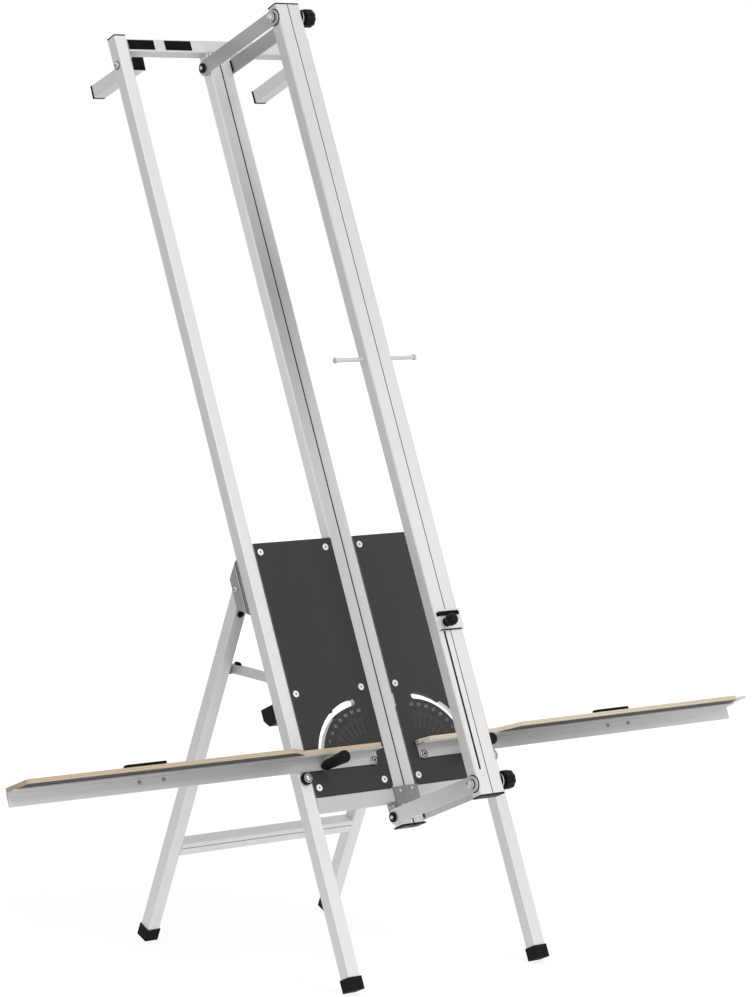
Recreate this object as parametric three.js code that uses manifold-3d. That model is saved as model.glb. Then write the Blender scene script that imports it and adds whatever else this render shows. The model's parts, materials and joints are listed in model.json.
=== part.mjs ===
// Hot-wire foam board cutter on a leaning stand.
// Millimetres, +Z up, front towards -Y. The upright frame is drawn standing, in a group
// that then leans back: x to the right, y to the rear, z along the main tubes.
// y = 0 is the front face of the tubes and z = 0 the height of the lower rear pivots.

import * as THREE from 'three';
import Module from 'manifold-3d';
import { mergeVertices } from 'three/addons/utils/BufferGeometryUtils.js';

const wasm = await Module();
wasm.setup();

// Shares and counts
const half = 1 / 2;
const lean_deg = 22.5;
const rear_lean_deg = 24.6;
const round_steps = 3;
const round_sides = 24;
const small_sides = 16;
const wire_sides = 8;
const knob_lobes = 6;
const lobe_depth_share = 0.11;
const lobe_points = 48;
const handle_round_points = 6;

// Square tube and double profile
const tube = 30;
const tube_wall = 2;
const tube_corner = 2;
const fit_gap = 0.3;
const cap_thick = 3;

// Main tubes and crossbars
const main_spacing = 505;
const tube_above_bar = 7;
const foot_top = -321;
const foot_bottom = -349;
const foot_wall = 2;
const foot_floor = 5;
const low_bar_bottom = 30;
const top_bar_above_arm = 30;

// Centre rail
const rail_bottom = -21;
const rail_slot_width = 3.6;
const rail_slot_depth = 24;
const bracket_thick = 3;
const bracket_width = 64;
const bracket_bottom_left = 18;
const bracket_bottom_right = 29;
const bracket_top = 61;

// Back panels with their protractor slots
const panel_thick = 12;
const panel_proud = 2;
const panel_top = 620;
const panel_corner_cut = 6;
const batten_height = 30;
const batten_mid_bottom = 269;
const batten_high_bottom = 585;

// Wings: a shelf board on an angle bar, turning on a pivot bolt
const wing_pivot_x = 68;
const wing_pivot_z = 122.5;
const wing_slot_radius = 132;
const wing_slot_width = 14;
const wing_slot_low_deg = -1.5;
const wing_slot_high_deg = 83;
const wing_slot_steps = 20;
const slot_end_steps = 6;
const angle_thick = 3;
const angle_bottom = 115;
const angle_top = 144.7;
const angle_depth = 30;
const angle_corner = 7;
const angle_inner = 57;
const angle_outer_left = 981;
const angle_outer_right = 970;
const board_thick = 9.5;
const board_depth = 62;
const board_depth_inner = 30;
const board_step_from = 262;
const board_step_to = 310;
const board_inner = 57;
const board_outer_left = 979;
const board_outer_right = 966;
const board_end_slope = 12;
const board_corner = 4;
const board_inner_cut_left = 3;
const board_inner_cut_right = 18;
const wing_tilt_left_deg = 0.38;
const pivot_bolt_radius = 5;
const pivot_head_radius = 9;
const pivot_head_thick = 4;
const bumper_radius = 13;
const bumper_depth = 10;
const bumper_bolt_radius = 10;
const bumper_bolt_thick = 3;

// Wing clamping grips: a turned handle standing out to the front on a stud
const grip_stud_radius = 4;
const grip_washer_radius = 10;
const grip_washer_thick = 3;
const grip_collar_radius = 8;
const grip_collar_length = 6;
const grip_root_radius = 10.5;
const grip_tip_radius = 13.5;
const grip_tip_round = 7;
const grip_end = 88;
const grip_edge = 2;

// Bow: outer profile carried by two pairs of arm bars
const arm_length = 277.1;
const bow_drop = 5;
const arm_pitch = 1730;
const arm_height = 33;
const arm_thick = 4;
const arm_side_gap = 3;
const pin_radius = 5;
const pin_clear = 0.08;
const pin_head_radius = 9;
const pin_head_thick = 4;
const pin_end_reach = 1.2;
const bow_width = 64;
const bow_bottom = -32;
const bow_above_arm = 20;
const bow_groove_width = 2;
const bow_groove_depth = 1.2;
const handle_radius = 4.5;
const handle_length = 218;
const handle_z = 932;
const handle_ring_radius = 6.5;
const handle_ring_thick = 5;
const wire_radius = 0.6;
const wire_offset = 12;
const holder_height = 26;
const holder_depth = 17;
const holder_blade = 3;
const holder_low_width = 22;
const holder_low_z = 24;
const holder_below_arm = 62;

// Turned black grips
const star_radius = 20;
const star_thick = 26;
const star_boss_radius = 13.5;
const star_boss_thick = 5.5;
const clamp_knob_radius = 13;
const clamp_knob_thick = 23;
const clamp_knob_stem_radius = 8;
const clamp_knob_stem = 8;

// Sliding clamp on the bow
const clamp_bottom = 322;
const clamp_top = 367;
const clamp_sheet = 3;
const clamp_cheek_depth = 14;
const clamp_knob_x = -8;
const clamp_knob_drop = 28.5;

// Rear spacer arms near the top
const spacer_above_arm = 1;
const spacer_back = 165;
const spacer_tilt_left_deg = 2.5;
const spacer_bolt_y = 15;

// Folding rear stand
const hinge_z = 538;
const hinge_y = 52.5;
const leg_above_hinge = 12;
const bracket_low_z = 474;
const bracket_rear_low_z = 498;
const bracket_rear_high_z = 565;
const bracket_high_z = 595;
const bracket_reach = 35;
const bracket_low_reach = 9;
const bracket_low_rise = 6;
const hinge_sheet = 2.5;
const hinge_pin_radius = 4;
const rear_bar_at = 651;

// Stay bars between the main tubes and the rear legs
const stay_y = 21.5;
const stay_z = 317;
const stay_at_leg = 198;
const stay_height = 20;
const stay_thick = 10;
const stay_pin_radius = 4;
const stay_seat_width = 10.7;
const stay_bolt_radius = 4;
const stay_bolt_head_radius = 7;
const stay_bolt_head_thick = 4;
const seat_low = 11;
const seat_rear = 12;
const seat_wall = 4;
const seat_wall_rise = 4;

// Power unit behind the left main tube
const power_left = -236;
const power_right = -116;
const power_low = 244;
const power_high = 285;
const power_back = 115;
const power_chamfer = 16;
const switch_width = 20;
const switch_height = 13;
const switch_depth = 9;
const switch_proud = 2.5;
const switch_gap = 1.2;
const switch_from_right = 30;
const inlet_width = 24;
const inlet_height = 16;
const inlet_depth = 12;
const inlet_wall = 3;
const inlet_from_right = 84;

// Derived positions
const main_x = main_spacing * half;
const inner_x = main_x - tube * half;
const lean = THREE.MathUtils.degToRad(lean_deg);
const leg_angle = THREE.MathUtils.degToRad(lean_deg + rear_lean_deg);
const rear_lean = THREE.MathUtils.degToRad(rear_lean_deg);
const mid_y = tube * half;
const arm_slope = Math.asin(bow_drop / arm_length);
const bow_y = mid_y - arm_length * Math.cos(arm_slope);
const bow_top = arm_pitch + bow_above_arm;
const holder_top_z = arm_pitch - holder_below_arm;
const top_bar_bottom = arm_pitch + top_bar_above_arm;
const main_top = top_bar_bottom + tube + tube_above_bar;
const spacer_z = arm_pitch + spacer_above_arm;
const cheek_x = tube + arm_side_gap;
const panel_front = -panel_proud;
const panel_back = panel_front + panel_thick;
const panel_bottom = low_bar_bottom + tube + fit_gap;
const stay_x = inner_x - fit_gap - stay_seat_width - fit_gap - stay_thick * half;
const angle_back = panel_front - fit_gap;
const angle_front = angle_back - angle_thick;
const board_bottom = angle_top + fit_gap;
const power_front = tube + fit_gap;

// Colours of the materials
const looks = {
  aluminium: { color: 0xcfd0d1, roughness: 0.42, metalness: 0.75 },
  bar_aluminium: { color: 0xc4c5c6, roughness: 0.45, metalness: 0.75 },
  sheet_steel: { color: 0x8f9192, roughness: 0.5, metalness: 0.7 },
  bolt_steel: { color: 0xb9babb, roughness: 0.35, metalness: 0.85 },
  black_plastic: { color: 0x161616, roughness: 0.5, metalness: 0.0 },
  black_rubber: { color: 0x1c1c1c, roughness: 0.8, metalness: 0.0 },
  film_plywood: { color: 0x444443, roughness: 0.55, metalness: 0.0 },
  batten_wood: { color: 0x9c8a6c, roughness: 0.7, metalness: 0.0 },
  shelf_plywood: { color: 0x8a7a66, roughness: 0.6, metalness: 0.0 },
  ceramic: { color: 0xe6e2da, roughness: 0.4, metalness: 0.0 },
  wire: { color: 0x77736e, roughness: 0.4, metalness: 0.8 },
};

function piece(name, geometry, look) {
  const mesh = new THREE.Mesh(geometry, new THREE.MeshStandardMaterial(looks[look]));
  mesh.name = name;
  return mesh;
}

// Solids for cuts and joins
function solid(geometry) {
  const bare = geometry.clone();
  bare.deleteAttribute('normal');
  bare.deleteAttribute('uv');
  const merged = mergeVertices(bare);
  return new wasm.Manifold(new wasm.Mesh({
    numProp: 3,
    vertProperties: new Float32Array(merged.attributes.position.array),
    triVerts: new Uint32Array(merged.index.array),
  }));
}

function geometry_of(body) {
  const mesh = body.getMesh();
  const geometry = new THREE.BufferGeometry();
  geometry.setAttribute('position', new THREE.BufferAttribute(mesh.vertProperties, mesh.numProp));
  geometry.setIndex(new THREE.BufferAttribute(mesh.triVerts, 1));
  geometry.computeVertexNormals();
  return geometry;
}

function joined(first, ...others) {
  return geometry_of(others.reduce((sum, next) => sum.add(solid(next)), solid(first)));
}

function cut(first, ...tools) {
  return geometry_of(tools.reduce((rest, tool) => rest.subtract(solid(tool)), solid(first)));
}

// Plain shapes
function block(x, y, z) {
  const box = new THREE.BoxGeometry(x[1] - x[0], y[1] - y[0], z[1] - z[0]);
  return box.translate((x[0] + x[1]) * half, (y[0] + y[1]) * half, (z[0] + z[1]) * half);
}

function rounded(width, height, radius) {
  const x = width * half;
  const y = height * half;
  const shape = new THREE.Shape();
  shape.moveTo(radius - x, -y);
  shape.lineTo(x - radius, -y);
  shape.absarc(x - radius, radius - y, radius, -Math.PI * half, 0);
  shape.lineTo(x, y - radius);
  shape.absarc(x - radius, y - radius, radius, 0, Math.PI * half);
  shape.lineTo(radius - x, y);
  shape.absarc(radius - x, y - radius, radius, Math.PI * half, Math.PI);
  shape.lineTo(-x, radius - y);
  shape.absarc(radius - x, radius - y, radius, Math.PI, Math.PI + Math.PI * half);
  return shape;
}

function polygon(points) {
  return new THREE.Shape(points.map(([x, y]) => new THREE.Vector2(x, y)));
}

function extruded(shape, length, curveSegments = round_steps) {
  return new THREE.ExtrudeGeometry(shape, {
    depth: length, bevelEnabled: false, curveSegments, steps: 1,
  });
}

// An outline in (x, y) drawn out along z
function along_z(shape, from, to, steps) {
  return extruded(shape, to - from, steps).translate(0, 0, from);
}

// An outline in (y, z) drawn out along x
function along_x(shape, from, to, steps) {
  const geometry = extruded(shape, to - from, steps);
  const turn = new THREE.Matrix4().set(0, 0, 1, from, 1, 0, 0, 0, 0, 1, 0, 0, 0, 0, 0, 1);
  return geometry.applyMatrix4(turn);
}

// An outline in (x, z) drawn out along -y, starting at the rear
function along_front(shape, rear, front, steps) {
  return extruded(shape, rear - front, steps).rotateX(Math.PI * half).translate(0, rear, 0);
}

function rod_x(radius, from, to, y, z, sides = round_sides) {
  const rod = new THREE.CylinderGeometry(radius, radius, to - from, sides);
  return rod.rotateZ(Math.PI * half).translate((from + to) * half, y, z);
}

function rod_y(radius, front, rear, x, z, sides = round_sides) {
  const rod = new THREE.CylinderGeometry(radius, radius, rear - front, sides);
  return rod.translate(x, 0, 0).translate(0, (front + rear) * half, z);
}

function rod_z(radius, from, to, x, y, sides = round_sides) {
  const rod = new THREE.CylinderGeometry(radius, radius, to - from, sides);
  return rod.rotateX(Math.PI * half).translate(x, y, (from + to) * half);
}

// A hollow square tube lying along z, centred on x = 0 and y = 0
function square_tube(from, to, size = tube) {
  const inside = size * half - tube_wall;
  return cut(
    along_z(rounded(size, size, tube_corner), from, to),
    block([-inside, inside], [-inside, inside], [from - size, to + size]),
  );
}

function square_tube_x(from, to, y, z) {
  return square_tube(from, to).rotateY(Math.PI * half).translate(0, y, z);
}

// A double-width profile: two chambers and a groove down the front
function double_profile(from, to, width, groove_width, groove_depth) {
  const x = width * half;
  const y = tube * half;
  const groove = groove_width * half;
  const shape = polygon([
    [-x + tube_corner, y], [-x, y - tube_corner], [-x, -y + tube_corner],
    [-x + tube_corner, -y], [-groove, -y], [-groove, groove_depth - y],
    [groove, groove_depth - y], [groove, -y], [x - tube_corner, -y],
    [x, -y + tube_corner], [x, y - tube_corner], [x - tube_corner, y],
  ]);
  const web = rail_slot_width * half + tube_wall;
  const far = x - tube_wall;
  const deep = [tube_wall - y, y - tube_wall];
  const long = [from - tube, to + tube];
  return cut(
    along_z(shape, from, to),
    block([web, far], deep, long),
    block([-far, -web], deep, long),
  );
}

// A black sleeve with a closed floor for a tube's end
function tube_foot(top, bottom) {
  const outside = tube + (fit_gap + foot_wall) * 2;
  const inside = tube + fit_gap * 2;
  const body = along_z(rounded(outside, outside, tube_corner), bottom, top);
  const pocket = block(
    [-inside * half, inside * half], [-inside * half, inside * half],
    [bottom + foot_floor, top + foot_floor],
  );
  return cut(body, pocket);
}

function main_tube(name, side) {
  const mesh = piece(name, square_tube(foot_bottom + foot_floor + fit_gap, main_top), 'aluminium');
  mesh.position.set(side * main_x, mid_y, 0);
  return mesh;
}

function tube_cap(name, side) {
  const shape = rounded(tube, tube, tube_corner);
  const from = main_top + fit_gap;
  const mesh = piece(name, along_z(shape, from, from + cap_thick), 'black_plastic');
  mesh.position.set(side * main_x, mid_y, 0);
  return mesh;
}

function front_foot(name, side) {
  const mesh = piece(name, tube_foot(foot_top, foot_bottom), 'black_rubber');
  mesh.position.set(side * main_x, mid_y, 0);
  return mesh;
}

function crossbar_top() {
  const reach = inner_x - fit_gap;
  const z = top_bar_bottom + tube * half;
  return piece('crossbar_top', square_tube_x(-reach, reach, mid_y, z), 'aluminium');
}

function crossbar_low(name, side) {
  const far = inner_x - fit_gap;
  const near = tube + fit_gap;
  const ends = side < 0 ? [-far, -near] : [near, far];
  const z = low_bar_bottom + tube * half;
  return piece(name, square_tube_x(ends[0], ends[1], mid_y, z), 'aluminium');
}

function rail() {
  const top = top_bar_bottom - fit_gap;
  const body = double_profile(rail_bottom, top, tube * 2, rail_slot_width, rail_slot_depth);
  const bore = pin_radius + pin_clear;
  const reach = tube + tube_wall;
  const mesh = piece('rail', cut(
    body,
    rod_x(bore, -reach, reach, 0, 0),
    rod_x(bore, -reach, reach, 0, arm_pitch),
  ), 'aluminium');
  mesh.position.set(0, mid_y, 0);
  return mesh;
}

function rail_cap() {
  const to = rail_bottom - fit_gap;
  const shape = rounded(tube * 2, tube, tube_corner);
  const slot = block(
    [-rail_slot_width * half, rail_slot_width * half],
    [-tube, rail_slot_depth - mid_y],
    [to - cap_thick * 2, to + cap_thick],
  );
  const plate = along_z(shape, to - cap_thick, to);
  const mesh = piece('rail_cap', cut(plate, slot), 'black_plastic');
  mesh.position.set(0, mid_y, 0);
  return mesh;
}

function rail_bracket() {
  const x = bracket_width * half;
  const rear = -fit_gap;
  const outline = polygon([
    [-x, bracket_bottom_left], [x, bracket_bottom_right], [x, bracket_top], [-x, bracket_top],
  ]);
  return piece('rail_bracket', along_front(outline, rear, rear - bracket_thick), 'sheet_steel');
}

// An arc slot around the wing pivot with round ends, as one closed outline
function slot_outline(side) {
  const low = THREE.MathUtils.degToRad(wing_slot_low_deg);
  const high = THREE.MathUtils.degToRad(wing_slot_high_deg);
  const end = wing_slot_width * half;
  const out = [];
  const add = (middle, radius, angle) => {
    const x = wing_pivot_x + middle[0] + radius * Math.cos(angle);
    out.push([side * x, wing_pivot_z + middle[1] + radius * Math.sin(angle)]);
  };
  const on_arc = (angle) => [wing_slot_radius * Math.cos(angle), wing_slot_radius * Math.sin(angle)];
  for (let i = 0; i <= wing_slot_steps; i += 1) {
    add([0, 0], wing_slot_radius + end, low + (high - low) * i / wing_slot_steps);
  }
  for (let i = 1; i < slot_end_steps; i += 1) {
    add(on_arc(high), end, high + Math.PI * i / slot_end_steps);
  }
  for (let i = wing_slot_steps; i >= 0; i -= 1) {
    add([0, 0], wing_slot_radius - end, low + (high - low) * i / wing_slot_steps);
  }
  for (let i = 1; i < slot_end_steps; i += 1) {
    add(on_arc(low), end, low + Math.PI + Math.PI * i / slot_end_steps);
  }
  return polygon(out);
}

function panel(name, side) {
  const far = side * (inner_x - fit_gap);
  const near = side * (tube + fit_gap);
  const sheet = along_front(polygon([
    [near, panel_bottom + panel_corner_cut], [near + side * panel_corner_cut, panel_bottom],
    [far - side * panel_corner_cut, panel_bottom], [far, panel_bottom + panel_corner_cut],
    [far, panel_top], [near, panel_top],
  ]), panel_back, panel_front);
  const rear = panel_back + panel_thick;
  const front = panel_front - panel_thick;
  const bore = pivot_bolt_radius + fit_gap;
  return piece(name, cut(
    sheet,
    along_front(slot_outline(side), rear, front),
    rod_y(bore, front, rear, side * wing_pivot_x, wing_pivot_z, small_sides),
  ), 'film_plywood');
}

// Battens behind the panels, between a main tube and the rail
function batten(name, side, bottom) {
  const x = [side * (tube + fit_gap), side * (inner_x - fit_gap)].sort((a, b) => a - b);
  return piece(name, block(
    x, [panel_back + fit_gap, tube], [bottom, bottom + batten_height],
  ), 'batten_wood');
}

// A tube to the rear, turned a little about its bolt
function spacer_arm(name, side, tilt_deg) {
  const x = side * (inner_x - fit_gap - tube * half);
  const body = square_tube(0, spacer_back).rotateX(-Math.PI * half);
  const mesh = piece(name, body.translate(0, -spacer_bolt_y, 0), 'aluminium');
  mesh.position.set(x, spacer_bolt_y, spacer_z);
  mesh.rotation.x = THREE.MathUtils.degToRad(tilt_deg);
  return mesh;
}

// Sheet bracket on the back of a main tube: a base, two cheeks and the leg's pin
function hinge_bracket(name, side) {
  const base_front = tube + fit_gap;
  const base_back = base_front + hinge_sheet;
  const inside = tube * half + fit_gap;
  const outside = inside + hinge_sheet;
  const outline = polygon([
    [base_front, bracket_low_z], [tube + bracket_low_reach, bracket_low_z + bracket_low_rise],
    [tube + bracket_reach, bracket_rear_low_z], [tube + bracket_reach, bracket_rear_high_z],
    [base_front, bracket_high_z],
  ]);
  const base = block([-inside, inside], [base_front, base_back], [bracket_low_z, bracket_high_z]);
  const mesh = piece(name, joined(
    base,
    along_x(outline, -outside, -inside),
    along_x(outline, inside, outside),
    rod_x(hinge_pin_radius, -outside - hinge_sheet, outside + hinge_sheet, hinge_y, hinge_z,
      small_sides),
  ), 'sheet_steel');
  mesh.position.set(side * main_x, 0, 0);
  return mesh;
}

// Power unit: a chamfered housing with a pocket for the rocker and a cord inlet below
function power_unit() {
  const outline = polygon([
    [power_front, power_low], [power_front, power_high], [power_back, power_high],
    [power_back, power_low + power_chamfer], [power_back - power_chamfer, power_low],
  ]);
  const housing = along_x(outline, power_left, power_right);
  const x = power_right - switch_from_right;
  const z = (power_low + power_chamfer + power_high) * half;
  const pocket = block(
    [x - switch_width * half, x + switch_width * half],
    [power_back - switch_depth, power_back + switch_depth],
    [z - switch_height * half, z + switch_height * half],
  );
  const inlet_x = power_right - inlet_from_right;
  const inlet_y = (power_front + power_back) * half;
  const inlet = block(
    [inlet_x - inlet_width * half, inlet_x + inlet_width * half],
    [inlet_y - inlet_height * half, inlet_y + inlet_height * half],
    [power_low - inlet_wall, power_low + inlet_wall],
  );
  const socket = block(
    [inlet_x - inlet_width * half + inlet_wall, inlet_x + inlet_width * half - inlet_wall],
    [inlet_y - inlet_height * half + inlet_wall, inlet_y + inlet_height * half - inlet_wall],
    [power_low - inlet_depth, power_low + inlet_depth],
  );
  const body = solid(housing).add(solid(inlet)).subtract(solid(pocket)).subtract(solid(socket));
  return piece('power_unit', geometry_of(body), 'black_plastic');
}

function rocker_switch() {
  const x = power_right - switch_from_right;
  const z = (power_low + power_chamfer + power_high) * half;
  const deep = switch_depth - switch_gap * 2;
  const wide = switch_width * half - switch_gap * half;
  const tall = switch_height * half - switch_gap;
  const outline = polygon([
    [-deep, -tall * half], [-deep, tall * half], [0, tall],
    [switch_proud, tall], [switch_proud * half, 0], [0, -tall],
  ]);
  const mesh = piece('rocker_switch', along_x(outline, -wide, wide), 'black_plastic');
  mesh.position.set(x, power_back, z);
  return mesh;
}

function wing_pivot(name, side) {
  const x = side * wing_pivot_x;
  const head_rear = angle_front - fit_gap;
  return piece(name, joined(
    rod_y(pivot_bolt_radius, head_rear - fit_gap, panel_back, x, wing_pivot_z, small_sides),
    rod_y(pivot_head_radius, head_rear - pivot_head_thick, head_rear, x, wing_pivot_z),
  ), 'bolt_steel');
}

function wing_bumper(name, side) {
  const x = side * main_x;
  const z = angle_bottom - fit_gap - bumper_radius;
  const rear = -fit_gap;
  return piece(name, joined(
    rod_y(bumper_radius, rear - bumper_depth, rear, x, z),
    rod_y(bumper_bolt_radius, rear - bumper_depth - bumper_bolt_thick, rear, x, z, small_sides),
  ), 'black_rubber');
}

// What is taken off the lower inner corner of an angle bar to round it
function round_off(side) {
  const corner = [side * (angle_inner - fit_gap), angle_bottom - fit_gap];
  const middle = [side * (angle_inner + angle_corner), angle_bottom + angle_corner];
  const points = [corner];
  for (let i = 0; i <= slot_end_steps; i += 1) {
    const angle = Math.PI * half * i / slot_end_steps;
    points.push([
      middle[0] - side * angle_corner * Math.sin(angle),
      middle[1] - angle_corner * Math.cos(angle),
    ]);
  }
  points[1][1] = corner[1];
  points[points.length - 1][0] = corner[0];
  return polygon(points);
}

function wing_angle(name, side) {
  const outline = polygon([
    [angle_back, angle_bottom], [angle_back, angle_top], [angle_back - angle_depth, angle_top],
    [angle_back - angle_depth, angle_top - angle_thick], [angle_front, angle_top - angle_thick],
    [angle_front, angle_bottom],
  ]);
  const outer = side < 0 ? angle_outer_left : angle_outer_right;
  const ends = [side * angle_inner, side * outer].sort((a, b) => a - b);
  const front = angle_front - angle_thick;
  const rear = angle_back + angle_thick;
  const stud_x = side * (wing_pivot_x + wing_slot_radius);
  return piece(name, cut(
    along_x(outline, ends[0], ends[1]),
    rod_y(pivot_bolt_radius + fit_gap, front, rear, side * wing_pivot_x, wing_pivot_z,
      small_sides),
    rod_y(grip_stud_radius + fit_gap, front, rear, stud_x, wing_pivot_z, small_sides),
    along_front(round_off(side), rear, front),
  ), 'bar_aluminium');
}

// A shelf board: narrow near the rail, full depth from the step outwards, one cut end
function wing_board(name, side) {
  const outer = side < 0 ? board_outer_left : board_outer_right;
  const front = angle_back - board_depth;
  const near_front = angle_back - board_depth_inner;
  const cut_off = side < 0 ? board_inner_cut_left : board_inner_cut_right;
  const tip = outer - board_end_slope;
  const outline = [
    [board_inner, angle_back], [board_inner, near_front + cut_off],
    [board_inner + cut_off, near_front], [board_step_from, near_front],
    [board_step_to, front], [tip - board_corner, front], [tip, front + board_corner],
    [outer, angle_back],
  ].map(([x, y]) => [side * x, y]);
  const sheet = along_z(polygon(outline), board_bottom, board_bottom + board_thick);
  return piece(name, sheet, 'shelf_plywood');
}

// A turned grip on a stud that runs in the panel's arc slot
function wing_grip(name, side) {
  const root = -(angle_front - fit_gap);
  const washer_front = -(panel_back + fit_gap);
  const washer_rear = washer_front - grip_washer_thick;
  const collar_end = root + grip_collar_length;
  const tip = grip_end - grip_tip_round;
  const points = [
    [0, washer_rear], [grip_washer_radius, washer_rear], [grip_washer_radius, washer_front],
    [grip_stud_radius, washer_front], [grip_stud_radius, root], [grip_collar_radius, root],
    [grip_collar_radius, collar_end], [grip_root_radius - grip_edge, collar_end],
    [grip_root_radius, collar_end + grip_edge],
  ];
  for (let i = 0; i < handle_round_points; i += 1) {
    const angle = Math.PI * half * i / handle_round_points;
    points.push([
      grip_tip_radius - grip_tip_round * (1 - Math.cos(angle)),
      tip + grip_tip_round * Math.sin(angle),
    ]);
  }
  points.push([grip_tip_radius - grip_tip_round, grip_end], [0, grip_end], points[0]);
  const outline = points.map(([radius, along]) => new THREE.Vector2(radius, along));
  const mesh = piece(name, new THREE.LatheGeometry(outline, round_sides), 'black_plastic');
  mesh.position.set(side * (wing_pivot_x + wing_slot_radius), 0, wing_pivot_z);
  mesh.rotation.x = Math.PI;
  return mesh;
}

// Arm bars: round-ended flats drawn from the rear pin to the front, then sloped down to the
// bow; the left one carries both pins
function arm_outline() {
  const r = arm_height * half;
  const shape = new THREE.Shape();
  const quarter = Math.PI * half;
  shape.absarc(0, 0, r, -quarter, quarter);
  shape.absarc(-arm_length, 0, r, quarter, Math.PI + quarter);
  return shape;
}

function at_rear_pin(mesh, z) {
  mesh.position.set(0, mid_y, z);
  mesh.rotation.x = arm_slope;
  return mesh;
}

function arm_left(name, z) {
  const plate = along_x(arm_outline(), -cheek_x - arm_thick, -cheek_x, round_sides * half);
  const to = cheek_x + arm_thick + pin_end_reach;
  const head_to = -cheek_x - arm_thick;
  const pin = (y) => rod_x(pin_radius, head_to, to, y, 0, round_sides);
  const head = (y) => rod_x(pin_head_radius, head_to - pin_head_thick, head_to + fit_gap, y, 0);
  const mesh = piece(name, joined(
    plate, pin(0), pin(-arm_length), head(0), head(-arm_length),
  ), 'bar_aluminium');
  return at_rear_pin(mesh, z);
}

function arm_right(name, z) {
  const plate = along_x(arm_outline(), cheek_x, cheek_x + arm_thick, round_sides * half);
  const reach = cheek_x + arm_thick * 2;
  const bore = pin_radius + fit_gap;
  const mesh = piece(name, cut(
    plate,
    rod_x(bore, tube, reach, 0, 0),
    rod_x(bore, tube, reach, -arm_length, 0),
  ), 'bar_aluminium');
  return at_rear_pin(mesh, z);
}

function bow_profile() {
  const body = double_profile(bow_bottom, bow_top, bow_width, bow_groove_width, bow_groove_depth);
  const bore = pin_radius + pin_clear;
  const reach = bow_width * half + tube_wall;
  const mesh = piece('bow_profile', cut(
    body,
    rod_x(bore, -reach, reach, 0, -bow_drop),
    rod_x(bore, -reach, reach, 0, arm_pitch - bow_drop),
    rod_x(handle_radius + fit_gap, -reach, reach, 0, handle_z, small_sides),
  ), 'aluminium');
  mesh.position.set(0, bow_y, 0);
  return mesh;
}

function bow_cap(name, from) {
  const shape = rounded(bow_width, tube, tube_corner);
  const mesh = piece(name, along_z(shape, from, from + cap_thick), 'black_plastic');
  mesh.position.set(0, bow_y, 0);
  return mesh;
}

function bow_handle() {
  const x = handle_length * half;
  const ring = (from) => rod_x(
    handle_ring_radius, from, from + handle_ring_thick, bow_y, handle_z, small_sides,
  );
  return piece('bow_handle', joined(
    rod_x(handle_radius, -x, x, bow_y, handle_z, small_sides),
    ring(-x), ring(x - handle_ring_thick),
  ), 'bar_aluminium');
}

// The hot wire stands behind the bow, held by an insulator at each end
const bow_rear = bow_y + tube * half;
const wire_y = bow_rear + wire_offset;

function hot_wire() {
  const from = holder_low_z + holder_height;
  return piece('hot_wire', rod_z(
    wire_radius, from + fit_gap, holder_top_z - fit_gap, 0, wire_y, wire_sides,
  ), 'wire');
}

function wire_holder(name, width, from) {
  const front = bow_rear + fit_gap;
  return piece(name, block(
    [-width * half, width * half], [front, front + holder_depth],
    [from, from + holder_height],
  ), 'ceramic');
}

// Lobed grip on the right end of a front pin
function star_outline() {
  const points = [];
  for (let i = 0; i < lobe_points; i += 1) {
    const angle = (i / lobe_points) * Math.PI * 2;
    const wave = (1 - Math.cos(angle * knob_lobes)) * half;
    const radius = star_radius * (1 - lobe_depth_share * wave);
    points.push([radius * Math.cos(angle), radius * Math.sin(angle)]);
  }
  return polygon(points);
}

function star_knob(name, z) {
  const from = cheek_x + arm_thick + pin_end_reach + fit_gap;
  const boss_to = from + star_boss_thick;
  const mesh = piece(name, joined(
    along_x(star_outline(), boss_to - fit_gap, boss_to + star_thick),
    rod_x(star_boss_radius, from, boss_to, 0, 0, small_sides),
  ), 'black_plastic');
  mesh.position.set(0, bow_y, z - bow_drop);
  return mesh;
}

// Sheet clamp around the front of the bow
function depth_clamp() {
  const inside = bow_width * half + fit_gap;
  const outside = inside + clamp_sheet;
  const rear = bow_y - tube * half - fit_gap;
  const front = rear - clamp_sheet;
  const cheek_rear = front + clamp_cheek_depth;
  return piece('depth_clamp', joined(
    block([-outside, outside], [front, rear], [clamp_bottom, clamp_top]),
    block([-outside, -inside], [front, cheek_rear], [clamp_bottom, clamp_top]),
    block([inside, outside], [front, cheek_rear], [clamp_bottom, clamp_top]),
  ), 'bar_aluminium');
}

function clamp_knob() {
  const plate = bow_y - tube * half - fit_gap - clamp_sheet;
  const stem_rear = plate - fit_gap;
  const stem_front = stem_rear - clamp_knob_stem;
  const mesh = piece('clamp_knob', joined(
    rod_y(clamp_knob_stem_radius, stem_front, stem_rear, 0, 0, small_sides),
    rod_y(clamp_knob_radius, stem_front - clamp_knob_thick, stem_front + fit_gap, 0, 0),
  ), 'black_plastic');
  mesh.position.set(clamp_knob_x, 0, clamp_top - clamp_knob_drop);
  return mesh;
}

// Rear legs: drawn hanging from the hinge along -z, then swung back by the leg angle
function leg_length() {
  const hinge_height = hinge_z * Math.cos(lean) - hinge_y * Math.sin(lean);
  const sole_y = tube + fit_gap + foot_wall;
  const floor = foot_bottom * Math.cos(lean) - sole_y * Math.sin(lean);
  const toe = tube * half + fit_gap + foot_wall;
  return (hinge_height - floor - toe * Math.sin(rear_lean)) / Math.cos(rear_lean);
}

function rear_leg(name, side) {
  const body = square_tube(-leg_length() + foot_floor + fit_gap, leg_above_hinge);
  const bore = hinge_pin_radius + pin_clear;
  const mesh = piece(name, cut(body, rod_x(bore, -tube, tube, 0, 0, small_sides)), 'aluminium');
  mesh.position.set(side * main_x, 0, 0);
  return mesh;
}

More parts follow.
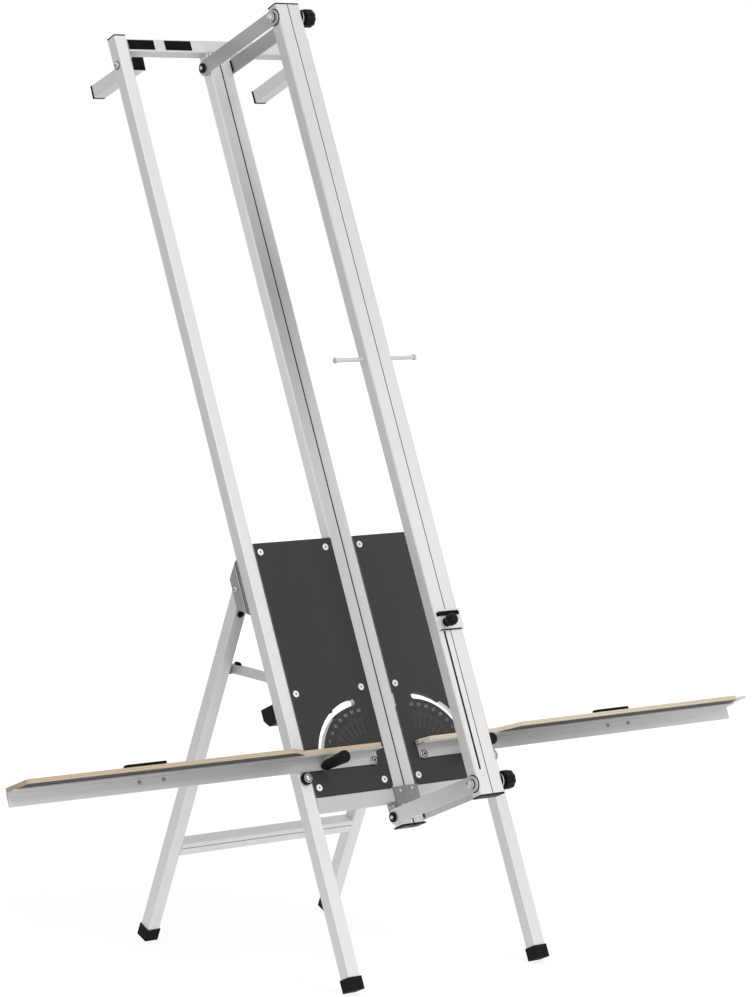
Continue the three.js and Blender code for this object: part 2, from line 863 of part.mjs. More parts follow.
function rear_foot(name, side) {
  const bottom = -leg_length();
  const top = bottom + foot_top - foot_bottom;
  const mesh = piece(name, tube_foot(top, bottom), 'black_rubber');
  mesh.position.set(side * main_x, 0, 0);
  return mesh;
}

function rear_crossbar() {
  const reach = inner_x - fit_gap;
  return piece('rear_crossbar', square_tube_x(-reach, reach, 0, -rear_bar_at), 'aluminium');
}

// Open seat on the inner side of a rear leg: a floor and a front wall under the stay's pin
function stay_seat(name, side) {
  const floor = -stay_pin_radius - fit_gap;
  const wall = -stay_pin_radius - fit_gap;
  const outline = polygon([
    [wall - seat_wall, -seat_low], [seat_rear, -seat_low], [seat_rear, floor], [wall, floor],
    [wall, seat_wall_rise], [wall - seat_wall, seat_wall_rise],
  ]);
  const near = stay_x + stay_thick * half + fit_gap;
  const ends = [side * near, side * (inner_x - fit_gap)].sort((a, b) => a - b);
  const line = stay_line();
  const turn = Math.atan2(line.z, line.y) - leg_angle;
  const mesh = piece(name, along_x(outline, ends[0], ends[1]).rotateX(turn), 'sheet_steel');
  mesh.position.set(0, 0, -stay_at_leg);
  return mesh;
}

function rear_stand() {
  const stand = new THREE.Group();
  stand.add(
    rear_leg('rear_leg_left', -1), rear_leg('rear_leg_right', 1),
    rear_foot('rear_foot_left', -1), rear_foot('rear_foot_right', 1), rear_crossbar(),
    stay_seat('stay_seat_left', -1), stay_seat('stay_seat_right', 1),
  );
  stand.position.set(0, hinge_y, hinge_z);
  stand.rotation.x = leg_angle;
  return stand;
}

// Stay bars: a flat bar on a bolt in the main tube, with a pin that rests in the leg's seat
function stay_line() {
  const pin_y = hinge_y + stay_at_leg * Math.sin(leg_angle);
  const pin_z = hinge_z - stay_at_leg * Math.cos(leg_angle);
  return { y: pin_y - stay_y, z: pin_z - stay_z };
}

function stay_bar(name, side) {
  const line = stay_line();
  const length = Math.hypot(line.y, line.z);
  const radius = stay_height * half;
  const quarter = Math.PI * half;
  const shape = new THREE.Shape();
  shape.absarc(length, 0, radius, -quarter, quarter);
  shape.absarc(0, 0, radius, quarter, Math.PI + quarter);
  const bar = along_x(shape, -stay_thick * half, stay_thick * half, small_sides * half);
  const bore = rod_x(stay_bolt_radius + fit_gap, -stay_thick, stay_thick, 0, 0, small_sides);
  const cheek = inner_x - fit_gap - hinge_sheet;
  const pin_ends = [0, side * (cheek - fit_gap - stay_x)].sort((a, b) => a - b);
  const pin = rod_x(stay_pin_radius, pin_ends[0], pin_ends[1], length, 0, small_sides);
  const mesh = piece(name, geometry_of(
    solid(bar).subtract(solid(bore)).add(solid(pin)),
  ), 'bar_aluminium');
  mesh.position.set(side * stay_x, stay_y, stay_z);
  mesh.rotation.x = Math.atan2(line.z, line.y);
  return mesh;
}

function stay_bolt(name, side) {
  const from = inner_x - fit_gap;
  const to = stay_x - stay_thick * half - fit_gap;
  const ends = [side * from, side * (to - stay_bolt_head_thick)].sort((a, b) => a - b);
  const head = [side * to, side * (to - stay_bolt_head_thick)].sort((a, b) => a - b);
  return piece(name, joined(
    rod_x(stay_bolt_radius, ends[0], ends[1], stay_y, stay_z, small_sides),
    rod_x(stay_bolt_head_radius, head[0], head[1], stay_y, stay_z, small_sides),
  ), 'bolt_steel');
}

function upright_frame() {
  const frame = new THREE.Group();
  frame.add(
    main_tube('main_tube_left', -1), main_tube('main_tube_right', 1),
    tube_cap('tube_cap_left', -1), tube_cap('tube_cap_right', 1),
    front_foot('front_foot_left', -1), front_foot('front_foot_right', 1),
    crossbar_top(), crossbar_low('crossbar_low_left', -1), crossbar_low('crossbar_low_right', 1),
    rail(), rail_cap(), rail_bracket(),
    panel('panel_left', -1), panel('panel_right', 1),
    batten('batten_mid_left', -1, batten_mid_bottom),
    batten('batten_mid_right', 1, batten_mid_bottom),
    batten('batten_high_left', -1, batten_high_bottom),
    batten('batten_high_right', 1, batten_high_bottom),
    spacer_arm('spacer_arm_left', -1, spacer_tilt_left_deg), spacer_arm('spacer_arm_right', 1, 0),
    hinge_bracket('hinge_bracket_left', -1), hinge_bracket('hinge_bracket_right', 1),
    stay_bolt('stay_bolt_left', -1), stay_bolt('stay_bolt_right', 1),
    power_unit(), rocker_switch(),
    wing_pivot('wing_pivot_left', -1), wing_pivot('wing_pivot_right', 1),
    wing_bumper('wing_bumper_left', -1), wing_bumper('wing_bumper_right', 1),
  );
  return frame;
}

// Turns the pieces of one wing about its pivot bolt
function tilted(side, degrees, meshes) {
  const about_pivot = new THREE.Group();
  about_pivot.position.set(side * wing_pivot_x, 0, wing_pivot_z);
  about_pivot.rotation.y = -side * THREE.MathUtils.degToRad(degrees);
  const pieces = new THREE.Group();
  pieces.position.set(-side * wing_pivot_x, 0, -wing_pivot_z);
  pieces.add(...meshes);
  about_pivot.add(pieces);
  return about_pivot;
}

function wings() {
  const both = new THREE.Group();
  both.add(
    tilted(-1, wing_tilt_left_deg, [
      wing_board('wing_board_left', -1), wing_angle('wing_angle_left', -1),
      wing_grip('wing_grip_left', -1),
    ]),
    wing_board('wing_board_right', 1), wing_angle('wing_angle_right', 1),
    wing_grip('wing_grip_right', 1),
  );
  return both;
}

function bow() {
  const group = new THREE.Group();
  group.add(
    arm_left('upper_arm_left', arm_pitch), arm_right('upper_arm_right', arm_pitch),
    arm_left('lower_arm_left', 0), arm_right('lower_arm_right', 0),
    bow_profile(), bow_cap('bow_cap_top', bow_top + fit_gap),
    bow_cap('bow_cap_bottom', bow_bottom - fit_gap - cap_thick),
    bow_handle(), hot_wire(),
    wire_holder('wire_holder_top', holder_blade, holder_top_z),
    wire_holder('wire_holder_bottom', holder_low_width, holder_low_z),
    star_knob('star_knob_top', arm_pitch), star_knob('star_knob_bottom', 0),
    depth_clamp(), clamp_knob(),
  );
  return group;
}

function stays() {
  const pair = new THREE.Group();
  pair.add(stay_bar('stay_bar_left', -1), stay_bar('stay_bar_right', 1));
  return pair;
}

// Everything leans back together; the group is then set on the ground about its middle
const leaning = new THREE.Group();
leaning.add(upright_frame(), wings(), bow(), rear_stand(), stays());
leaning.rotation.x = -lean;

const machine = new THREE.Group();
machine.add(leaning);
machine.updateMatrixWorld(true);
const bounds = new THREE.Box3().setFromObject(leaning, true);
leaning.position.set(
  -(bounds.min.x + bounds.max.x) * half, -(bounds.min.y + bounds.max.y) * half, -bounds.min.z,
);

export default machine;
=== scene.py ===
"""Finished looks for a hot-wire foam board cutter that leans on a folding stand."""

import json
import math

import bmesh
import bpy
from bpy.props import FloatProperty, FloatVectorProperty, PointerProperty
from mathutils import Matrix, Vector


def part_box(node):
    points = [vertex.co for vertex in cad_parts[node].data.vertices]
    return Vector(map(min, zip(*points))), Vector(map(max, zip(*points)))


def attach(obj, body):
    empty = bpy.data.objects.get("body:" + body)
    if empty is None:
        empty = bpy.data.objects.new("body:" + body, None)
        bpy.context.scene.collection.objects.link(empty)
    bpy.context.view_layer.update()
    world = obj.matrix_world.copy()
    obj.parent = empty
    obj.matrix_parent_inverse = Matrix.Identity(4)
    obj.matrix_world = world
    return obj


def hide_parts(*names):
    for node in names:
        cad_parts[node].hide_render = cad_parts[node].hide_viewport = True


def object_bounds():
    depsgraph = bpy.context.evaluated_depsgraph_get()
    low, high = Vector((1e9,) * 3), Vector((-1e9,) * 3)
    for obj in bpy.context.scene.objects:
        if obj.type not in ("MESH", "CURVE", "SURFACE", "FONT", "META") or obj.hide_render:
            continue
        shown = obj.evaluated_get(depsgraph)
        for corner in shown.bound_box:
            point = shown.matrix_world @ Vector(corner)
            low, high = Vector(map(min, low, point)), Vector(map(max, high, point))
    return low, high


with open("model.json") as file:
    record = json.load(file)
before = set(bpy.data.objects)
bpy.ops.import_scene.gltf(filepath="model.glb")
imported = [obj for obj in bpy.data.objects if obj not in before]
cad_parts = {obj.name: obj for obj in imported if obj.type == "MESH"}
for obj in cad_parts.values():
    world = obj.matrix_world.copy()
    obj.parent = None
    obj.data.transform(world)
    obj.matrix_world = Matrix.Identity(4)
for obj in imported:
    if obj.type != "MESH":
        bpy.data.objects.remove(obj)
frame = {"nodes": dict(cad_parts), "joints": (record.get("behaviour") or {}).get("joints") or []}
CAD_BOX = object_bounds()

bl_info = {
    "name": "Foam Board Cutter",
    "version": (1, 0, 0),
    "blender": (4, 5, 0),
    "location": "View3D > Sidebar > Foam Cutter",
    "description": "Dresses a leaning hot-wire foam board cutter and its photo stage",
    "category": "Object",
}

# Lengths below are millimetres in the standing frame of the main tubes:
# x to the right, y to the rear from the tubes' front faces, z along the tubes.
MM = 0.001
TUBE = 30.0
TUBE_X = 252.5
INNER_X = TUBE_X - TUBE / 2
OUTER_X = TUBE_X + TUBE / 2
RAIL_HALF = 30.0
BOW_HALF = 32.0
ARM_PITCH = 1730.0
ARM_LENGTH = 277.1
BOW_DROP = 5.0
ARM_INNER = 33.0
ARM_OUTER = 37.0
BOW_Y = TUBE / 2 - math.sqrt(ARM_LENGTH ** 2 - BOW_DROP ** 2)
BOW_FRONT = BOW_Y - TUBE / 2
PANEL_FRONT = -2.0
WING_FRONT = -5.3
PIVOT_X = 68.0
PIVOT_Z = 122.5
SLOT_RADIUS = 132.0
SLOT_REACH = 14.0
LAYER_PAIR = 4.2
MERGE = 0.001
CREASE = math.radians(35.0)
SIDES = ((-1, "left"), (1, "right"))
ORIGIN = (0.0, 0.0, 0.0)
QUARTER = math.pi / 2
ROUND = 40
SMALL_ROUND = 24

# Colours, and how squarely a surface faces a direction to count as turned that way
WHITE = (1.0, 1.0, 1.0, 1.0)
VENEER_PALE = (0.58, 0.48, 0.34)
VENEER_DARK = (0.3, 0.22, 0.14)
# Near-white painted highlight for the walls of the panels' arc slots
LIT_SLOT_WALL = (0.95, 0.92, 0.85)
SIDEWAYS = 0.7
FLATWAYS = 0.85

# The colour sockets of a Mix node
MIX_FIRST, MIX_SECOND, MIX_COLOUR = 6, 7, 2

# How a pattern is stretched across and along its grain, by the way the grain runs
GRAIN_UP = (900.0, 900.0, 5.0)
GRAIN_ACROSS = (5.0, 900.0, 900.0)
GRAIN_REAR = (900.0, 5.0, 900.0)
PLY_UPRIGHT = (40.0, 1500.0, 40.0)
PLY_LEVEL = (40.0, 40.0, 1500.0)

# Drawn aluminium by look: the material's name, its tone, its roughness and its grain, and
# for some a fade and lighter sides. Tones other than 1, the fades and the lighter sides are
# painted light and shade, so these looks are lit and shaded copies of one aluminium
ALUMINIUM = {
    "tube": ("tube_aluminium", 1.0, 0.42, GRAIN_UP),
    "tube_right": ("tube_aluminium_right", 0.83, 0.42, GRAIN_UP, (2, 1.9, 1.6, 1.16)),
    "tube_across": ("tube_aluminium_across", 1.0, 0.42, GRAIN_ACROSS),
    "tube_rear": ("tube_aluminium_rear", 1.0, 0.42, GRAIN_REAR),
    "leg": ("leg_aluminium", 1.0, 0.42, GRAIN_UP),
    "rail": ("rail_aluminium", 0.57, 0.46, GRAIN_UP, (2, 1.4, 0.4, 1.66), 2.1),
    "bow": ("bow_aluminium", 0.87, 0.4, GRAIN_UP, (2, 1.65, 0.9, 1.15)),
    "flat_bar": ("flat_bar_aluminium", 0.9, 0.4, GRAIN_REAR),
    "upper_bar": ("upper_bar_aluminium", 0.66, 0.4, GRAIN_REAR),
    "lower_bar": ("lower_bar_aluminium", 0.77, 0.4, GRAIN_REAR, (1, -0.6455, 0.21, 1.3)),
    "flat_across": ("flat_bar_aluminium_across", 0.86, 0.4, GRAIN_ACROSS),
    "flange_left": ("flange_aluminium_left", 0.55, 0.4, GRAIN_ACROSS, (0, -0.32, 0.63, 1.45)),
    "flange_right": ("flange_aluminium_right", 0.49, 0.4, GRAIN_ACROSS, (0, 0.29, 0.61, 1.72)),
    "cross_low": ("tube_aluminium_low", 0.73, 0.42, GRAIN_ACROSS),
    "cross_top": ("tube_aluminium_top", 0.88, 0.42, GRAIN_ACROSS),
}


def pivot(name):
    """Where a joint of the frame has its axis."""
    for joint in frame["joints"]:
        if joint["name"] == name:
            return Vector(joint["pos_m"])
    raise KeyError(name)


def axes(origin, across, rear, up):
    """A placement from millimetres along three directions to metres."""
    place = Matrix((across, rear, up)).transposed().to_4x4()
    place.translation = origin
    return place @ Matrix.Scale(MM, 4)


ACROSS = Vector((1.0, 0.0, 0.0))
LOW_PIVOT = pivot("lower_arm_swing")
UP_TUBE = (pivot("arm_swing") - LOW_PIVOT).normalized()
TO_REAR = UP_TUBE.cross(ACROSS)
STANDING = axes(LOW_PIVOT - TO_REAR * (TUBE / 2 * MM), ACROSS, TO_REAR, UP_TUBE)
LEAN = math.atan2(UP_TUBE.y, UP_TUBE.z)

HINGE = pivot("stand_fold")
FOOT_LOW, FOOT_HIGH = (Vector(corner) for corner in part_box("rear_foot_left"))
FOOT_MIDDLE = (FOOT_LOW + FOOT_HIGH) / 2
UP_LEG = Vector((0.0, HINGE.y - FOOT_MIDDLE.y, HINGE.z - FOOT_MIDDLE.z)).normalized()
LEG = axes(HINGE, ACROSS, UP_LEG.cross(ACROSS), UP_LEG)
LEG_LEAN = math.atan2(UP_LEG.y, UP_LEG.z)

WING_PIVOT = Matrix.Translation((-PIVOT_X, 0.0, PIVOT_Z))
WING_TILT = math.radians(0.38)
WINGS = {
    "left": STANDING @ WING_PIVOT @ Matrix.Rotation(WING_TILT, 4, "Y") @ WING_PIVOT.inverted(),
    "right": STANDING,
}


# Solids, each in a bmesh of its own and in millimetres

def aimed(axis="Z", at=ORIGIN, outward=1):
    """A placement for a shape drawn along z: at a point, along an axis, and outward or back."""
    turn = {
        "X": Matrix.Rotation(QUARTER, 4, "Y"),
        "Y": Matrix.Rotation(-QUARTER, 4, "X"),
        "Z": Matrix.Identity(4),
    }[axis]
    if outward < 0:
        turn = turn @ Matrix.Rotation(math.pi, 4, "X")
    return Matrix.Translation(at) @ turn


def soften(bm, edges, width, steps=2):
    bmesh.ops.bevel(
        bm, geom=list(edges), offset=width, offset_type="OFFSET", segments=steps,
        profile=0.5, affect="EDGES", material=-1, clamp_overlap=True,
    )


def box(low, high, edge=0.0, steps=2):
    bm = bmesh.new()
    low, high = Vector(low), Vector(high)
    bmesh.ops.create_cube(bm, size=1.0)
    bmesh.ops.scale(bm, vec=high - low, verts=bm.verts)
    bmesh.ops.translate(bm, vec=(low + high) / 2, verts=bm.verts)
    if edge:
        soften(bm, bm.edges, edge, steps)
    return bm


def rod(radius, start, end, axis="Z", at=ORIGIN, edge=0.0, sides=ROUND):
    """A round bar from start to end along an axis through a point."""
    bm = bmesh.new()
    bmesh.ops.create_cone(
        bm, cap_ends=True, cap_tris=False, segments=sides, radius1=radius, radius2=radius,
        depth=end - start,
    )
    if edge:
        soften(bm, [e for e in bm.edges if any(len(f.verts) > 4 for f in e.link_faces)], edge)
    bmesh.ops.translate(bm, vec=(0.0, 0.0, (start + end) / 2), verts=bm.verts)
    bm.transform(aimed(axis, at))
    return bm


def turned(profile, axis="Z", at=ORIGIN, steps=ROUND, outward=1, closed=False):
    """A lathe shape from (radius, height) points that run from axis to axis or close a ring."""
    bm = bmesh.new()
    verts = [bm.verts.new((radius, 0.0, height)) for radius, height in profile]
    pairs = list(zip(verts, verts[1:]))
    if closed:
        pairs.insert(0, (verts[-1], verts[0]))
    edges = [bm.edges.new(pair) for pair in pairs]
    bmesh.ops.spin(
        bm, geom=verts + edges, cent=ORIGIN, axis=(0.0, 0.0, 1.0), angle=2 * math.pi,
        steps=steps, use_merge=True,
    )
    bmesh.ops.remove_doubles(bm, verts=bm.verts, dist=MERGE)
    bmesh.ops.recalc_face_normals(bm, faces=bm.faces)
    bm.transform(aimed(axis, at, outward))
    return bm


def ring(outer, inner, start, end, axis="Z", at=ORIGIN, edge=0.4, steps=ROUND):
    """A washer or collar with softened outer corners."""
    profile = (
        (inner, start), (outer - edge, start), (outer, start + edge),
        (outer, end - edge), (outer - edge, end), (inner, end),
    )
    return turned(profile, axis, at, steps, closed=True)


def fluted(bm, start, share):
    """Scales a lathe shape beyond a radius, by a share that each point's place gives."""
    for vert in bm.verts:
        reach = math.hypot(vert.co.x, vert.co.y)
        if reach > start:
            factor = share(reach, math.atan2(vert.co.y, vert.co.x))
            vert.co.x *= factor
            vert.co.y *= factor


def plate(outline, rear, front, edge=0.0):
    """A flat plate with an (x, z) outline, between two depths y."""
    bm = bmesh.new()
    face = bm.faces.new([bm.verts.new((x, rear, z)) for x, z in outline])
    grown = bmesh.ops.extrude_face_region(bm, geom=[face])
    moved = [v for v in grown["geom"] if isinstance(v, bmesh.types.BMVert)]
    bmesh.ops.translate(bm, vec=(0.0, front - rear, 0.0), verts=moved)
    bmesh.ops.recalc_face_normals(bm, faces=bm.faces)
    if edge:
        soften(bm, bm.edges, edge)
    return bm


def hex_bolt(radius, depth, axis, at, outward=1):
    """A six-sided head on a washer, with the bolt's rounded end in its middle."""
    washer = depth * 0.22
    parts = [
        ring(radius * 1.28, radius * 0.3, 0.0, washer, edge=washer * 0.3, steps=SMALL_ROUND),
        rod(radius, washer * 0.9, depth, edge=depth * 0.12, sides=6),
        rod(radius * 0.62, depth * 0.8, depth * 1.08, edge=depth * 0.1, sides=SMALL_ROUND),
    ]
    for part in parts:
        part.transform(aimed(axis, at, outward))
    return parts


def cap_screw(radius, depth, axis, at, outward=1):
    """A round domed head with a round socket sunk in it."""
    wall, rise, arcs = 0.45, 0.5, 6
    dome = [(0.0, 0.0), (radius, 0.0), (radius, depth * wall)]
    for step in range(1, arcs):
        angle = QUARTER * step / arcs
        dome.append((
            radius * (wall + (1.0 - wall) * math.cos(angle)),
            depth * (wall + rise * math.sin(angle)),
        ))
    dome += [(radius * 0.42, depth * 0.96), (radius * 0.38, depth * 0.35), (0.0, depth * 0.35)]
    return [turned(dome, axis, at, SMALL_ROUND, outward)]


# Materials

def arithmetic(operation):
    """A Python operator and its reflected form, each as one Math node."""
    def plain(self, other):
        return self.shading.maths(operation, self, other)

    def reflected(self, other):
        return self.shading.maths(operation, other, self)

    return plain, reflected


class Value:
    """A shader socket that plain arithmetic adds Math nodes to."""

    def __init__(self, shading, socket):
        self.shading = shading
        self.socket = socket

    __add__, __radd__ = arithmetic("ADD")
    __sub__, __rsub__ = arithmetic("SUBTRACT")
    __mul__, __rmul__ = arithmetic("MULTIPLY")

    def __abs__(self):
        return self.shading.maths("ABSOLUTE", self)

    def above(self, edge):
        return self.shading.maths("GREATER_THAN", self, edge)

    def clamped(self):
        return self.shading.maths("ADD", self, 0.0, clamp=True)


class Shading:
    """A node tree, and the way that nodes are added to it."""

    def __init__(self, tree):
        self.tree = tree

    def feed(self, socket, value):
        if isinstance(value, Value):
            self.tree.links.new(value.socket, socket)
        else:
            socket.default_value = value

    def node(self, kind, settings=None, inputs=None, output=0):
        """Adds one node, its settings first and then its sockets, and gives its output."""
        made = self.tree.nodes.new(kind)
        for name, value in (settings or {}).items():
            setattr(made, name, value)
        for name, value in (inputs or {}).items():
            self.feed(made.inputs[name], value)
        return Value(self, made.outputs[output]) if made.outputs else None

    def maths(self, operation, *values, clamp=False):
        """One Math node on numbers and sockets."""
        settings = {"operation": operation, "use_clamp": clamp}
        return self.node("ShaderNodeMath", settings, dict(enumerate(values)))


class Finish(Shading):
    """A procedural material for one kind of surface."""

    def __init__(self, name, colour, roughness, metallic=0.0, specular=0.5):
        self.material = bpy.data.materials.new(name)
        self.material.use_nodes = True
        super().__init__(self.material.node_tree)
        self.shader = self.tree.nodes["Principled BSDF"]
        for socket, value in (
            ("Base Color", (*colour, 1.0)), ("Roughness", roughness), ("Metallic", metallic),
            ("Specular IOR Level", specular),
        ):
            self.feed(self.shader.inputs[socket], value)
        self.material.diffuse_color = (*colour, 1.0)

    def place(self, tilt=0.0, stretch=(1.0, 1.0, 1.0)):
        """Object coordinates turned upright with a piece, then stretched for a grain."""
        raw = self.node("ShaderNodeTexCoord", output="Object")
        point = {"vector_type": "POINT"}
        upright = self.node(
            "ShaderNodeMapping", point, {"Vector": raw, "Rotation": (tilt, 0.0, 0.0)})
        return self.node("ShaderNodeMapping", point, {"Vector": upright, "Scale": stretch})

    def facing(self, direction):
        """How much the surface faces a fixed direction of the piece, from -1 to 1."""
        raw = self.node("ShaderNodeTexCoord", output="Normal")
        return self.node(
            "ShaderNodeVectorMath", {"operation": "DOT_PRODUCT"}, {0: raw, 1: tuple(direction)},
            output="Value",
        )

    def part(self, place, axis):
        """One coordinate of a place."""
        return self.node("ShaderNodeSeparateXYZ", inputs={0: place}, output=axis)

    def noise(self, vector, scale=1.0, detail=3.0, rough=0.6):
        return self.node(
            "ShaderNodeTexNoise", {"noise_dimensions": "3D"},
            {"Vector": vector, "Scale": scale, "Detail": detail, "Roughness": rough},
        )

    def mix(self, factor, first, second):
        """A colour between two colours."""
        first, second = (
            value if isinstance(value, Value) else (*value, 1.0) for value in (first, second))
        return self.node(
            "ShaderNodeMix", {"data_type": "RGBA"},
            {0: factor, MIX_FIRST: first, MIX_SECOND: second}, output=MIX_COLOUR,
        )

    def shades(self, factor, colour, low, high):
        """A colour between a darker and a lighter shade of one colour."""
        return self.mix(factor, shade(colour, low), shade(colour, high))

    def made_of(self, colour, roughness=None, relief=None, strength=0.0, distance=0.0002):
        """Feeds the shader what changes over the surface, and hands the material out."""
        self.feed(self.shader.inputs["Base Color"], colour)
        if roughness is not None:
            self.feed(self.shader.inputs["Roughness"], roughness.clamped())
        if relief is not None:
            bump = self.node("ShaderNodeBump", inputs={
                "Strength": strength, "Distance": distance, "Height": relief})
            self.feed(self.shader.inputs["Normal"], bump)
        return self.material


def shade(colour, factor):
    return tuple(channel * factor for channel in colour)


def tint(colour, factors):
    return tuple(channel * factor for channel, factor in zip(colour, factors))


def drawn_aluminium(name, colour, roughness, tilt, grain, fade=None, sides=None):
    """Extruded metal: fine die lines along the bar, faint marks and a slow change of sheen.

    A fade paints light and shade along the piece: it holds an axis of the upright piece,
    a place on it and a reach from there, in metres, and how much lighter the metal is
    painted beyond that reach. Sides is how much painted light makes the faces to the left
    and right lighter.
    """
    finish = Finish(name, colour, roughness, metallic=0.3)
    lines = finish.noise(finish.place(tilt, grain), detail=4.0)
    cloud = finish.noise(finish.place(tilt), 9.0, 2.0, 0.5)
    tone = (0.72 * lines + 0.28 * cloud).clamped()

    def brushed(gain):
        return finish.shades(tone, shade(colour, gain), low=0.93, high=1.06)

    metal = brushed(1.0)
    # Painted light and shade: the metal is lighter away from a place along the piece
    if fade:
        axis, middle, reach, gain = fade
        drift = abs(finish.part(finish.place(tilt), axis) - middle) * (1.0 / reach)
        metal = finish.mix(drift.clamped(), metal, brushed(gain))
    # Painted light: the faces to the left and right are lighter
    if sides:
        metal = finish.mix(abs(finish.facing(ACROSS)).above(SIDEWAYS), metal, brushed(sides))
    worn = lines * 0.16 + cloud * 0.1 + (roughness - 0.13)
    return finish.made_of(metal, worn, lines, strength=0.12, distance=0.00015)


def zinc_sheet(name, colour):
    """Plated sheet steel with a faint crystal mottle and scuffs."""
    finish = Finish(name, colour, roughness=0.42, metallic=0.7)
    flake = finish.node(
        "ShaderNodeTexVoronoi", {"feature": "F1"},
        {"Vector": finish.place(LEAN), "Scale": 160.0},
    )
    cloud = finish.noise(finish.place(LEAN), 30.0, 4.0)
    tone = (0.5 * flake + 0.6 * cloud).clamped()
    metal = finish.shades(tone, colour, low=0.82, high=1.12)
    return finish.made_of(metal, cloud * 0.3 + 0.28, cloud, strength=0.08)


def bolt_steel(name, colour):
    """Bright plated fastener metal."""
    finish = Finish(name, colour, roughness=0.3, metallic=0.85)
    cloud = finish.noise(finish.place(), 260.0)
    return finish.made_of(finish.shades(cloud, colour, low=0.8, high=1.15), cloud * 0.25 + 0.2)


def moulded_black(name, colour, roughness, grain=0.25, gloss=0.12):
    """Moulded black plastic or rubber with a fine skin."""
    finish = Finish(name, colour, roughness, specular=gloss)
    skin = finish.noise(finish.place(), 1400.0)
    cloud = finish.noise(finish.place(), 22.0, rough=0.5)
    worn = skin * 0.14 + cloud * 0.12 + (roughness - 0.13)
    black = finish.shades(cloud, colour, low=0.75, high=1.5)
    return finish.made_of(black, worn, skin, strength=grain, distance=0.0001)


def plywood(name, film, flat, grain, layers_along, bare=0.0, pale=(1.0, 1.0, 1.0), slotted=False):
    """Film-faced plywood: a dark fine-pressed face, and pale cut edges with thin glue lines.

    Where bare is above 0, only the edges that face left and right by that much are pale.
    The walls of the arc slots in a slotted sheet are painted near white as a painted
    highlight, lighter than its outer edges. Pale scales the colours of the cut edges:
    below 1 it is painted shade, above 1 painted light.
    """
    # Pale tints the cut edges: below 1 it is painted shade, above 1 painted light
    edge_pale = tint(VENEER_PALE, pale)
    finish = Finish(name, film, roughness=0.5)
    place = finish.place(LEAN)
    cloud = finish.noise(place, 7.0, rough=0.55)
    skin = finish.noise(place, 900.0, 2.0, 0.5)
    wander = finish.noise(finish.place(LEAN, grain), detail=4.0)
    turns = finish.part(place, layers_along) * (2 * math.pi / (LAYER_PAIR * MM))
    layer = finish.maths("SINE", turns + wander * 0.8)
    dark_layer = (layer * 0.5 + 0.5).clamped()
    wood = finish.mix(dark_layer * 0.75, edge_pale, tint(VENEER_DARK, pale))
    wood = finish.mix(wander * 0.5, wood, shade(edge_pale, 1.12))
    # Painted highlight: the walls of the arc slots are near white
    if slotted:
        across = abs(finish.part(place, 0) - LOW_PIVOT.x) - PIVOT_X * MM
        up = finish.part(place, 2) - (LOW_PIVOT.dot(UP_TUBE) + PIVOT_Z * MM)
        reach = finish.maths("SQRT", across * across + up * up)
        beyond = reach.above((SLOT_RADIUS + SLOT_REACH) * MM)
        in_slot = reach.above((SLOT_RADIUS - SLOT_REACH) * MM) * (1.0 - beyond)
        wood = finish.mix(in_slot, wood, LIT_SLOT_WALL)
    if bare:
        on_face = 1.0 - abs(finish.facing(ACROSS)).above(bare)
    else:
        on_face = abs(finish.facing(flat)).above(FLATWAYS)
    colour = finish.mix(on_face, wood, finish.shades(cloud, film, low=0.86, high=1.16))
    worn = skin * 0.12 + cloud * 0.1 + 0.36
    return finish.made_of(colour, worn, skin, strength=0.18, distance=0.0001)


def planed_wood(name, colour):
    """Softwood battens with long grain."""
    finish = Finish(name, colour, roughness=0.65)
    grain = finish.noise(finish.place(LEAN, (12.0, 260.0, 260.0)), detail=5.0)
    wood = finish.shades(grain, colour, low=0.7, high=1.2)
    return finish.made_of(wood, relief=grain, strength=0.15)


def glazed(name, colour):
    """Fired insulator with a glossy skin."""
    finish = Finish(name, colour, roughness=0.25)
    cloud = finish.noise(finish.place(), 90.0, rough=0.5)
    return finish.made_of(finish.shades(cloud, colour, low=0.94, high=1.04), cloud * 0.2 + 0.15)


def wire_metal(name, colour):
    """Resistance wire, slightly browned by heat."""
    finish = Finish(name, colour, roughness=0.4, metallic=0.8)
    heat = finish.noise(finish.place(LEAN, (40.0, 40.0, 9.0)))
    return finish.made_of(finish.mix(heat, colour, (0.3, 0.22, 0.16)))


def painted(name, colour, roughness):
    """Print, white plastic and black painted shade: a plain finish with a little wear."""
    finish = Finish(name, colour, roughness)
    cloud = finish.noise(finish.place(), 300.0)
    return finish.made_of(finish.shades(cloud, colour, low=0.9, high=1.05))


LOOKS = {}


